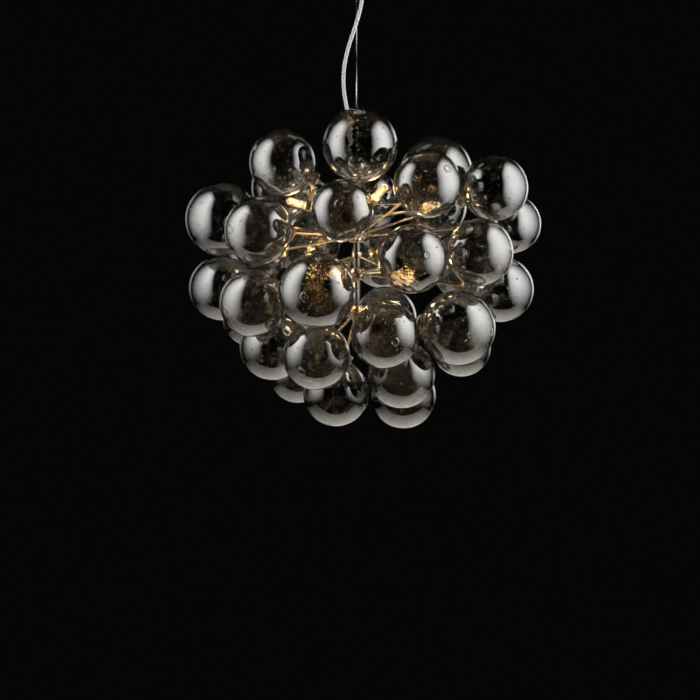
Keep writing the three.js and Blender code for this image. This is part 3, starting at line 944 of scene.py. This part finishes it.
capsule_glass, tree, shader = new_finish(
    "capsule_glass", Metallic=0.0, Transmission_Weight=1.0, IOR=1.12, Base_Color=(1.0, 0.97, 0.92, 1),
    Emission_Strength=haze_strength,
)
ripple = noise(tree, 105, 3, Distortion=1.5)
haze = ramp(tree, ripple, 0.45, 0.57)
full, toned = (
    mixed(tree, haze, dimmed(haze_hollow, share), dimmed(haze_warmth, share))
    for share in (1, seen_directly)
)
facing = add_node(tree, "ShaderNodeLayerWeight", {"Blend": 0.55}).outputs["Facing"]
rim = ramp(tree, calculated(tree, "ADD", ripple, facing), 0.75, 1.15)
soft_rim = mixed(tree, rim, toned, dimmed(haze_hollow, rim_glow))
seen = add_node(tree, "ShaderNodeLightPath").outputs["Is Camera Ray"]
from_inside = add_node(tree, "ShaderNodeNewGeometry").outputs["Backfacing"]
glow = mixed(tree, from_inside, mixed(tree, seen, full, soft_rim), (0, 0, 0, 1))
tree.links.new(glow, shader.inputs["Emission Color"])
bumped(tree, shader, ripple, 0.0015, 0.6)
smeared(tree, shader, 90, 0.15, 0.22)

glowing_coil, tree, shader = new_finish(
    "glowing_coil", Metallic=0.0, Base_Color=(0.9, 0.6, 0.3, 1), Emission_Strength=coil_strength
)
heat = mixed(tree, noise(tree, 300, 2), (1.0, 0.74, 0.40, 1), (1.0, 0.62, 0.26, 1))
tree.links.new(heat, shader.inputs["Emission Color"])
print("capsules shine at", haze_strength, "and show", seen_directly, "of it")

# %% Sockets and bulbs
socket_radius = 0.009
socket_length = 0.022
socket_recess = 0.008
lamp_radius = 0.007
lamp_length = 0.042
coil_radius = 0.0022
coil_wire = 0.0006
coil_sides = 8
coil_turns = 7
coil_turn_steps = 14
coil_start, coil_end = 0.014, 0.034

sleeve = turned(
    "sleeve",
    [(0.0, -socket_length), (0.0062, -socket_length), (0.0066, -0.0216), (0.0066, -0.0192),
     (0.0084, -0.0186), (socket_radius, -0.0178), (socket_radius, -0.0128), (0.0084, -0.0123),
     (0.0084, -0.0113), (socket_radius, -0.0108), (socket_radius, -0.0012), (0.0088, -0.0003), (0.0085, 0.0),
     (0.0082, 0.0), (0.0080, -0.0004), (0.0080, -0.0185), (0.0, -0.0185)],
    sides=40,
)
insert = turned(
    "insert",
    [(0.0, -0.0182), (0.0078, -0.0182), (0.0078, -0.0012), (0.0076, -0.0008), (0.0074, -0.0008),
     (0.0073, -0.0012), (0.0073, -socket_recess), (0.0, -socket_recess)],
    sides=40,
)
capsule = turned(
    "capsule",
    [(0.0, 0.0), (0.0052, 0.0), (0.0058, 0.0004), (0.0058, 0.0052), (0.0064, 0.0066), (0.0069, 0.0082),
     *arc(lamp_radius, 0, 84, 8, centre=(0, lamp_length - lamp_radius)), (0.0, lamp_length)],
    sides=36,
)
coil_steps = coil_turns * coil_turn_steps
coil_line = [(0, 0, 0.008), (0, 0, coil_start - 0.002)]
for step in range(coil_steps + 1):
    angle = 2 * math.pi * step / coil_turn_steps
    rise = coil_start + (coil_end - coil_start) * step / coil_steps
    coil_line.append((coil_radius * math.cos(angle), coil_radius * math.sin(angle), rise))
coil_line.append((0, 0, coil_end + 0.002))
coil = tube("coil", coil_line, coil_wire, coil_sides)
print("coil of", coil_turns, "turns,", len(coil.data.polygons), "faces")

# %% Lamps on their holders
lamp_seat_gap = 0.0003
lamp_arm_radius = 0.0022
halo_radius = 0.009
halo_radiance = 64.0
halo_tint = (1.0, 0.60, 0.23)

for holder in ("upper", "lower"):
    arms, inserts = [], []
    for node in sorted(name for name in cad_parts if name.startswith(f"lamp_{holder}_")):
        tip, base = ends_of(node)
        outwards = (tip - base).normalized()
        collar = Vector((0, 0, height_on_stem(base, outwards)))
        socket_front = base + outwards * (socket_recess - lamp_seat_gap)
        reach = (socket_front - collar).length - socket_length
        arm = turned(
            "lamp_arm",
            [(lamp_arm_radius, 0.006), (lamp_arm_radius, reach - 0.006), (0.0036, reach - 0.0052),
             (0.0060, reach - 0.0030), (0.0070, reach - 0.0012), (0.0070, reach - 0.0002),
             (0.0064, reach)],
            sides=28,
        )
        arms.append(stand(arm, collar, outwards))
        arms.append(stand(copied(sleeve, "sleeve"), socket_front, outwards))
        inserts.append(stand(copied(insert, "insert"), socket_front, outwards))
        place = f"{holder}_{node[-1]}"
        bulb = stand(copied(capsule, f"capsule_{place}"), base, outwards)
        fit(bulb, capsule_glass, "pendant", node)
        fit(stand(copied(coil, f"coil_{place}"), base, outwards), glowing_coil, "pendant", node)
        bpy.ops.object.light_add(type="POINT", location=base.lerp(tip, 0.5))
        halo = bpy.context.object
        halo.name = f"halo_{place}"
        halo.data.shadow_soft_size = halo_radius
        halo.data.energy = 4 * math.pi**2 * halo_radius**2 * halo_radiance
        halo.data.color = halo_tint
        halo.visible_camera = False
        halo.visible_transmission = False
        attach(halo, "pendant")
    ring = turned(
        "collar",
        [(ball_bore, -0.0055), (0.0088, -0.0055), (0.0095, -0.0048), (0.0095, -0.0014), (0.0091, -0.0010),
         (0.0091, 0.0010), (0.0095, 0.0014), (0.0095, 0.0048), (0.0088, 0.0055), (ball_bore, 0.0055),
         (ball_bore, -0.0055)],
    )
    arms.append(stand(ring, collar))
    node = f"lamp_holder_{holder}"
    fit(join_pieces(f"lamp_arms_{holder}", arms), nickel_painted_lamp_warmth, "pendant", node)
    fit(join_pieces(f"lamp_inserts_{holder}", inserts), ceramic, "pendant", node)
    print(holder, "holder at", round(collar.z, 3))
for piece in (sleeve, insert, capsule, coil):
    bpy.data.objects.remove(piece)

# %% [markdown]
# ## Helpers for worked metal
# The pieces from the stem upwards are turned, sawn from bar, drilled and threaded. So the helpers here
# follow the workshop: a plate with rounded corners, edges eased all round, pieces welded on or cut away,
# drills that leave a small chamfer, threads as rings, and flutes pressed into a band.


# %% Plates and edges
def select_in_edit(piece, kind, numbers):
    """Goes to edit mode with only the edges or faces of the given numbers selected."""
    activate(piece)
    bpy.ops.object.mode_set(mode="EDIT")
    bpy.ops.mesh.select_mode(type=kind)
    bpy.ops.mesh.select_all(action="DESELECT")
    bpy.ops.object.mode_set(mode="OBJECT")
    elements = piece.data.edges if kind == "EDGE" else piece.data.polygons
    for number in numbers:
        elements[number].select = True
    bpy.ops.object.mode_set(mode="EDIT")


def plate(name, low, high):
    """A flat block between two corners."""
    low, high = Vector(low), Vector(high)
    deselect_all()
    bpy.ops.mesh.primitive_cube_add(size=1, location=(low + high) / 2)
    piece = bpy.context.object
    piece.name = piece.data.name = name
    piece.scale = high - low
    bpy.ops.object.transform_apply(location=True, rotation=False, scale=True)
    return piece


def rounded(piece, width, axis, above=-1.0, below=1.0, steps=6):
    """Rounds the edges of a block that run along an axis, between two heights."""
    corners = piece.data.vertices
    edges = []
    for edge in piece.data.edges:
        a, b = (corners[i].co for i in edge.vertices)
        if abs((b - a).normalized()[axis]) > 0.99 and above < (a.z + b.z) / 2 < below:
            edges.append(edge.index)
    select_in_edit(piece, "EDGE", edges)
    bpy.ops.mesh.bevel(offset=width, segments=steps)
    bpy.ops.object.mode_set(mode="OBJECT")
    return piece


def eased(piece, width, steps=2):
    """Takes the sharpness off all the edges of a piece."""
    activate(piece)
    ease = piece.modifiers.new("ease", "BEVEL")
    ease.width, ease.segments = width, steps
    ease.limit_method, ease.angle_limit = "ANGLE", math.radians(35)
    bpy.ops.object.modifier_apply(modifier="ease")
    shade_smooth()
    return piece


def worked(piece, operation, *tools):
    """Welds tools onto a piece, cuts them away or keeps what is common."""
    for tool in tools:
        activate(piece)
        step = piece.modifiers.new("work", "BOOLEAN")
        step.operation, step.solver, step.object = operation, "EXACT", tool
        bpy.ops.object.modifier_apply(modifier="work")
        bpy.data.objects.remove(tool)
    activate(piece)
    shade_smooth()
    return piece


# %% Drills, threads and flutes
tool_overrun = 0.001
thread_pitch = 0.0007
flute_depth = 0.0004
flute_margin = 0.0002


def drill(radius, low, high, flare=0.0004, sides=32):
    """A round cutter between two heights that leaves a chamfer at both ends."""
    wide = radius + flare + tool_overrun
    return turned(
        "drill",
        [(0.0, low - tool_overrun), (wide, low - tool_overrun), (radius, low + flare),
         (radius, high - flare), (wide, high + tool_overrun), (0.0, high + tool_overrun)],
        sides=sides,
    )


def thread(radius, low, high, depth=0.00025):
    """Profile points of a thread, cut as rings."""
    points = []
    for turn in range(int((high - low) / thread_pitch)):
        foot = low + turn * thread_pitch
        points += [(radius - depth, foot), (radius, foot + 0.4 * thread_pitch),
                   (radius, foot + 0.6 * thread_pitch)]
    return [*points, (radius - depth, high)]


def fluted(piece, low, high, sides):
    """Presses every second face of a turned band inwards."""
    faces = []
    for face in piece.data.polygons:
        turn = math.atan2(face.center.y, face.center.x) % (2 * math.pi)
        if low < face.center.z < high and int(turn * sides / (2 * math.pi)) % 2:
            faces.append(face.index)
    select_in_edit(piece, "FACE", faces)
    bpy.ops.mesh.inset(thickness=flute_margin, depth=-flute_depth, use_individual=True)
    bpy.ops.object.mode_set(mode="OBJECT")
    shade_smooth()


# %% [markdown]
# ## Stem, cap and gland
# The stem is a dark nickel tube for the lamp wires. The cap is screwed onto its top and holds the
# suspension wire in its middle. The cord goes in beside the wire, through a ribbed silicone gland that
# keeps it from bending sharply. Each is drawn from its own foot upwards and then stood in its place.

# %% Stem, cap and gland
stem_length = stem_high - stem_low
cap_low, gland_high = (corner.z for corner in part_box("top_cap"))
cap_high = cap_low + 0.016
gland_height = gland_high - cap_high
gland_x = -0.013
gland_foot = 0.0015
gland_ribs = 7
rib_height = (gland_height - 0.0012 - gland_foot) / gland_ribs
wire_hole = 0.0012
cord_hole = 0.00355

stem = turned(
    "stem_tube",
    [(0.004, 0.0), (0.0055, 0.0), (0.006, 0.0005), (0.006, 0.024), (0.0057, 0.0243), (0.0057, 0.0252),
     (0.006, 0.0255), (0.006, stem_length - 0.0135), (0.0057, stem_length - 0.0132),
     (0.0057, stem_length - 0.0122), (0.006, stem_length - 0.0119), (0.006, stem_length - 0.0005),
     (0.0055, stem_length), (0.004, stem_length), (0.004, 0.0)],
    sides=40,
)
fit(stand(stem, (0, 0, stem_low)), dark_nickel, "pendant", "hub_stem")

cap = turned(
    "turned_cap",
    [(wire_hole, 0.0103), (0.0063, 0.0103), (0.0063, 0.0004), (0.0067, 0.0), (0.0146, 0.0),
     (0.0152, 0.0002), (0.0196, 0.0047), (0.020, 0.0056), (0.020, 0.0078), (0.0196, 0.0081),
     (0.0196, 0.0089), (0.020, 0.0092), (0.020, 0.0148), (0.0196, 0.0156), (0.0186, 0.0159),
     (0.0052, 0.0155), (0.0048, 0.0159), (0.0042, 0.016), (0.0020, 0.016), (wire_hole, 0.0152),
     (wire_hole, 0.0103)],
    sides=72,
)
fit(stand(cap, (0, 0, cap_low)), chrome, "pendant", "top_cap")

gland_profile = [(cord_hole, -0.0011), (0.0066, -0.0011), (0.0070, -0.0006), (0.0070, 0.0012),
                 (0.0067, gland_foot)]
for rib in range(gland_ribs):
    foot = gland_foot + rib * rib_height
    wide = 0.0068 - 0.0018 * (rib + 1) / gland_ribs
    gland_profile += [(wide - 0.0006, foot + 0.0004), (wide - 0.0006, foot + 0.0010),
                      (wide, foot + 0.0014), (wide, foot + rib_height - 0.0002)]
gland_profile += [(0.0047, gland_height - 0.0003), (0.0043, gland_height), (0.0038, gland_height),
                  (cord_hole, gland_height - 0.0004), (cord_hole, -0.0011)]
gland = stand(turned("ribbed_gland", gland_profile, sides=40), (gland_x, 0, cap_high))
fit(gland, silicone, "pendant", "top_cap")
print("stem", round(stem_length, 4), "m, cap", round(cap_high, 4), "gland", round(gland_high, 4))

# %% [markdown]
# ## Cable gripper and swivel
# The gripper holds the wire between sprung balls: pushing the plunger up lets the wire slip, so the height
# can be set. Its threaded stud goes up through the fork and turns there under a hexagonal nut.

# %% Cable gripper
gripper_low, stud_top = (corner.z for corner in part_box("cable_gripper"))
gripper_height = 0.037
stud_height = stud_top - gripper_low
gripper_sides = 60
cord_way_x = 0.010
flutes_low, flutes_high = 0.0105, 0.0215

body = turned(
    "gripper_body",
    [(0.0, 0.0283), (wire_hole, 0.0283), (wire_hole, 0.012), (0.0043, 0.012), (0.0043, 0.0004),
     (0.0047, 0.0), (0.0112, 0.0), (0.0118, 0.0003), (0.0151, 0.0036), (0.0155, 0.0046),
     (0.0155, 0.0085), (0.0150, 0.0090), (0.0150, 0.0098), (0.0155, 0.0103), (0.0155, flutes_low),
     (0.0155, flutes_high), (0.0155, 0.0217), (0.0150, 0.0222), (0.0150, 0.0230), (0.0155, 0.0235),
     (0.0155, 0.0314), (0.0153, 0.0324), (0.0139, 0.0362), (0.0134, 0.0369), (0.0128, gripper_height),
     (0.0048, gripper_height), (0.0037, gripper_height + 0.0002),
     *thread(0.004, gripper_height + 0.0005, stud_height - 0.0006), (0.0032, stud_height),
     (0.0, stud_height)],
    sides=gripper_sides,
)
fluted(body, flutes_low, flutes_high, gripper_sides)
worked(body, "DIFFERENCE", stand(drill(cord_hole, 0.0, gripper_height), (cord_way_x, 0, 0)))
fit(stand(body, (0, 0, gripper_low)), chrome, "pendant", "cable_gripper")
print("gripper", round(gripper_low, 4), "to", round(stud_top, 4))

# %% Plunger
plunger_low, plunger_high = (corner.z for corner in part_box("gripper_plunger"))
plunger_height = plunger_high - plunger_low
plunger = turned(
    "grooved_plunger",
    [(wire_hole, 0.0004), (wire_hole + 0.0005, 0.0), (0.0035, 0.0), (0.0040, 0.0005), (0.0040, 0.0012),
     (0.0036, 0.0015), (0.0036, 0.0019), (0.0040, 0.0022), (0.0040, 0.0027), (0.0036, 0.0030),
     (0.0036, 0.0034), (0.0040, 0.0037), (0.0040, plunger_height - 0.0004), (0.0036, plunger_height),
     (wire_hole, plunger_height), (wire_hole, 0.0004)],
    sides=48,
)
fit(stand(plunger, (0, 0, plunger_low)), nickel, "plunger", "gripper_plunger")

# %% Swivel nut
nut_low, nut_high = (corner.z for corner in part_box("swivel_nut"))
nut_radius = 0.007
thread_core = 0.0043
deselect_all()
bpy.ops.mesh.primitive_cylinder_add(
    vertices=6, radius=nut_radius, depth=nut_high - nut_low, location=(0, 0, (nut_low + nut_high) / 2)
)
nut = bpy.context.object
nut.name = nut.data.name = "hexagon_nut"
bpy.ops.object.transform_apply(location=True)
crown = turned(
    "crown",
    [(0.0, nut_low), (0.0062, nut_low), (0.0072, nut_low + 0.0005), (0.0072, nut_high - 0.0005),
     (0.0062, nut_high), (0.0, nut_high)],
    sides=60,
)
worked(nut, "INTERSECT", crown)
tap = turned(
    "tap",
    [(0.0, nut_low - 0.001), (0.0058, nut_low - 0.001), (thread_core, nut_low + 0.0003),
     *thread(thread_core, nut_low + 0.0004, nut_high - 0.0004, depth=0.00018),
     (thread_core, nut_high - 0.0003), (0.0058, nut_high + 0.001), (0.0, nut_high + 0.001)],
    sides=40,
)
fit(worked(nut, "DIFFERENCE", tap), plated_steel, "pendant", "swivel_nut")
print("nut", len(nut.data.polygons), "faces")

# %% [markdown]
# ## Universal joint and cross bar
# The cross bar is screwed to the ceiling. Two lugs on it carry a cross on one pair of pins, and the fork
# hangs on the other pair, so the pendant always finds its own plumb line.

# %% Cross and fork
joint_z = -0.024
pin_reach = 0.0133
pin_hole = 0.0023
cross_half = 0.0045
fork_low, fork_high = -0.0378, -0.0348
lug_middle = 0.0115
lug_half = 0.0015
lug_radius = 0.0049
pin_profile = [(0.0, -pin_reach), (0.0015, -pin_reach), (0.0020, -pin_reach + 0.0005),
               (0.0020, pin_reach - 0.0005), (0.0015, pin_reach), (0.0, pin_reach)]
shoulder_profile = [(0.002, 0.0044), (0.0034, 0.0044), (0.0034, 0.0052), (0.0030, 0.0056),
                    (0.002, 0.0056), (0.002, 0.0044)]


def pin_drill(direction):
    """A cutter through both lugs, along the pins' direction."""
    reach = lug_middle + lug_half
    return stand(drill(pin_hole, -reach, reach), (0, 0, joint_z), direction)


cross_block = plate(
    "cross_block", (-cross_half, -cross_half, joint_z - cross_half),
    (cross_half, cross_half, joint_z + cross_half),
)
cross_pieces = [eased(cross_block, 0.0006, 3)]
for direction in ((1, 0, 0), (0, 1, 0)):
    cross_pieces.append(stand(turned("pin", pin_profile, sides=32), (0, 0, joint_z), direction))
    for side in (-1, 1):
        shoulder = turned("shoulder", shoulder_profile, sides=32)
        cross_pieces.append(stand(shoulder, (0, 0, joint_z), side * Vector(direction)))
pinned_cross = join_pieces("pinned_cross", cross_pieces)
fit(pinned_cross, plated_steel, "cross", "gimbal_cross")

fork = rounded(plate("drop_fork", (-0.006, -0.013, fork_low), (0.006, 0.013, fork_high)), 0.0009, 2)
for y in (-lug_middle, lug_middle):
    lug = plate("lug", (-0.005, y - lug_half, fork_low + 0.0006), (0.005, y + lug_half, -0.019))
    worked(fork, "UNION", rounded(lug, lug_radius, 1, above=-0.03, steps=12))
eased(fork, 0.0003)
worked(fork, "DIFFERENCE", drill(thread_core, fork_low, fork_high), pin_drill((0, 1, 0)))
fit(fork, plated_steel, "fork", "hanging_fork")
print("cross", len(pinned_cross.data.polygons), "faces, fork", len(fork.data.polygons), "faces")

# %% Cross bar
bar_low = -0.003
ceiling_holes = 0.035
canopy_holes = 0.044
neck_profile = [(0.0023, -0.0029), (0.0036, -0.0029), (0.0034, -0.0038), (0.0031, -0.0041),
                (0.0023, -0.0041), (0.0023, -0.0029)]
cross_bar = rounded(plate("cross_bar", (-0.052, -0.011, bar_low), (0.052, 0.011, 0)), 0.004, 2)
for x in (-lug_middle, lug_middle):
    lug = plate("lug", (x - lug_half, -0.005, -0.029), (x + lug_half, 0.005, -0.0006))
    worked(cross_bar, "UNION", rounded(lug, lug_radius, 0, below=-0.02, steps=12))
eased(cross_bar, 0.0003)
worked(cross_bar, "DIFFERENCE", pin_drill((1, 0, 0)))
bar_pieces = [cross_bar]
for side in (-1, 1):
    worked(cross_bar, "DIFFERENCE", stand(drill(0.0026, bar_low, 0.0), (side * ceiling_holes, 0, 0)),
           stand(drill(0.0023, bar_low, 0.0, flare=0.0003), (side * canopy_holes, 0, 0)))
    neck = turned("neck", neck_profile, sides=32)
    bar_pieces.append(stand(neck, (side * canopy_holes, 0, 0)))
pressed_bar = join_pieces("pressed_cross_bar", bar_pieces)
fit(pressed_bar, plated_steel, "ceiling", "ceiling_bracket")
print("cross bar", len(pressed_bar.data.polygons), "faces")

# %% [markdown]
# ## Terminal block
# The supply wires meet the cord in a three-way block. Each way has a brass tube right through it and two
# brass screws from below.

# %% Terminal block
way_spacing = 0.008
ways = (-way_spacing, 0.0, way_spacing)
block_low, block_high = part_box("terminal_block")
block_x = (block_low.x + block_high.x) / 2
way_z = (block_low.z + block_high.z) / 2
screw_wells = (-0.0036, 0.0036)
tube_profile = [(0.0016, -0.0062), (0.00195, -0.0062), (0.00195, 0.0062), (0.0016, 0.0062),
                (0.0016, -0.0062)]
screw_profile = [(0.0, 0.0008), (0.0014, 0.0008), (0.0017, 0.0011), (0.0017, 0.0036), (0.0, 0.0036)]
block = eased(plate("three_way_block", block_low, block_high), 0.0007, 3)
brass_pieces = []
for between in (-way_spacing / 2, way_spacing / 2):
    worked(block, "DIFFERENCE", plate("groove", (block_low.x - 0.001, between - 0.0005, block_low.z - 0.001),
                                      (block_high.x + 0.001, between + 0.0005, block_low.z + 0.0016)))
for way in ways:
    middle = (block_x, way, way_z)
    worked(block, "DIFFERENCE", stand(drill(0.002, -0.007, 0.007, flare=0.0005), middle, (1, 0, 0)))
    brass_pieces.append(stand(turned("tube", tube_profile, sides=24), middle, (1, 0, 0)))
    for along in screw_wells:
        well = Vector((block_x + along, way, block_low.z))
        worked(block, "DIFFERENCE", stand(drill(0.0019, 0.0, 0.0034, flare=0.0003, sides=24), well))
        screw = turned("screw", screw_profile, sides=24)
        worked(screw, "DIFFERENCE", plate("slot", (-0.003, -0.0003, 0.0), (0.003, 0.0003, 0.0016)))
        brass_pieces.append(stand(screw, well, spin=1.1 * way / way_spacing + 40 * along))
fit(block, moulded_plastic, "ceiling", "terminal_block")
fit(join_pieces("brass_ways", brass_pieces), brass, "ceiling", "terminal_block")
print("block", len(block.data.polygons), "faces")

# %% [markdown]
# ## Canopy and its screws
# The canopy is spun from sheet: a flat floor, a rounded corner, a rolled rim at the ceiling and a small
# lip round the hole for the pendant. Two long screws hold it up to the cross bar.

# %% Canopy
canopy_radius = 0.058
canopy_depth = 0.042
canopy_wall = 0.0012
canopy_corner = 0.008
canopy_hole = 0.0235

corner_middle = (canopy_radius - canopy_corner, canopy_corner - canopy_depth)
inside = canopy_radius - canopy_wall
floor_top = canopy_wall - canopy_depth
canopy = turned(
    "spun_canopy",
    [(inside, -0.0006), (inside, -0.0030), *arc(canopy_corner - canopy_wall, 0, -90, 10, corner_middle),
     (canopy_hole + 0.0016, floor_top), (canopy_hole + 0.0011, floor_top + 0.0003),
     (canopy_hole + 0.0009, floor_top + 0.0009), (canopy_hole + 0.0006, floor_top + 0.0012),
     (canopy_hole + 0.0002, floor_top + 0.0010), (canopy_hole, floor_top + 0.0005),
     (canopy_hole, floor_top), (canopy_hole + 0.0003, -canopy_depth + 0.0004),
     (canopy_hole + 0.0010, -canopy_depth), *arc(canopy_corner, -90, 0, 14, corner_middle),
     (canopy_radius, -0.0062), (canopy_radius - 0.0004, -0.0058), (canopy_radius - 0.0004, -0.0050),
     (canopy_radius, -0.0046), (canopy_radius, -0.0008), (canopy_radius - 0.0003, -0.0002),
     (canopy_radius - 0.0007, 0.0), (inside + 0.0002, -0.0001), (inside, -0.0006)],
    sides=96,
)
for side in (-1, 1):
    worked(canopy, "DIFFERENCE",
           stand(drill(0.0023, -canopy_depth, floor_top, flare=0.0002), (side * canopy_holes, 0, 0)))
fit(canopy, chrome, "ceiling", "canopy")

# %% Canopy screws
head_radius, head_height = 0.0045, 0.0026
head_top = -canopy_depth - 0.0003
dome = [(across, head_top - 0.0002 + up * (head_height - 0.0002) / head_radius)
        for across, up in arc(head_radius, -90, 0, 8)]
canopy_screw = turned(
    "domed_screw",
    [(0.0, dome[0][1]), *dome[1:], (head_radius, head_top - 0.0001), (head_radius - 0.0001, head_top),
     (0.002, head_top), (0.0018, head_top + 0.0003), (0.0018, -0.0170),
     *thread(0.002, -0.0165, -0.0021), (0.0013, -0.0015), (0.0, -0.0015)],
    sides=40,
)
for width, length in ((0.0009, 0.0048), (0.0048, 0.0009)):
    recess = plate("recess", (-width / 2, -length / 2, dome[0][1] - 0.0005), (width / 2, length / 2,
                                                                             dome[0][1] + 0.0014))
    worked(canopy_screw, "DIFFERENCE", recess)
for side, label, turn in ((-1, "left", 0.4), (1, "right", 1.1)):
    piece = stand(copied(canopy_screw, f"domed_screw_{label}"), (side * canopy_holes, 0, 0), spin=turn)
    fit(piece, chrome, "ceiling", f"canopy_screw_{label}")
bpy.data.objects.remove(canopy_screw)
print("canopy", len(canopy.data.polygons), "faces")
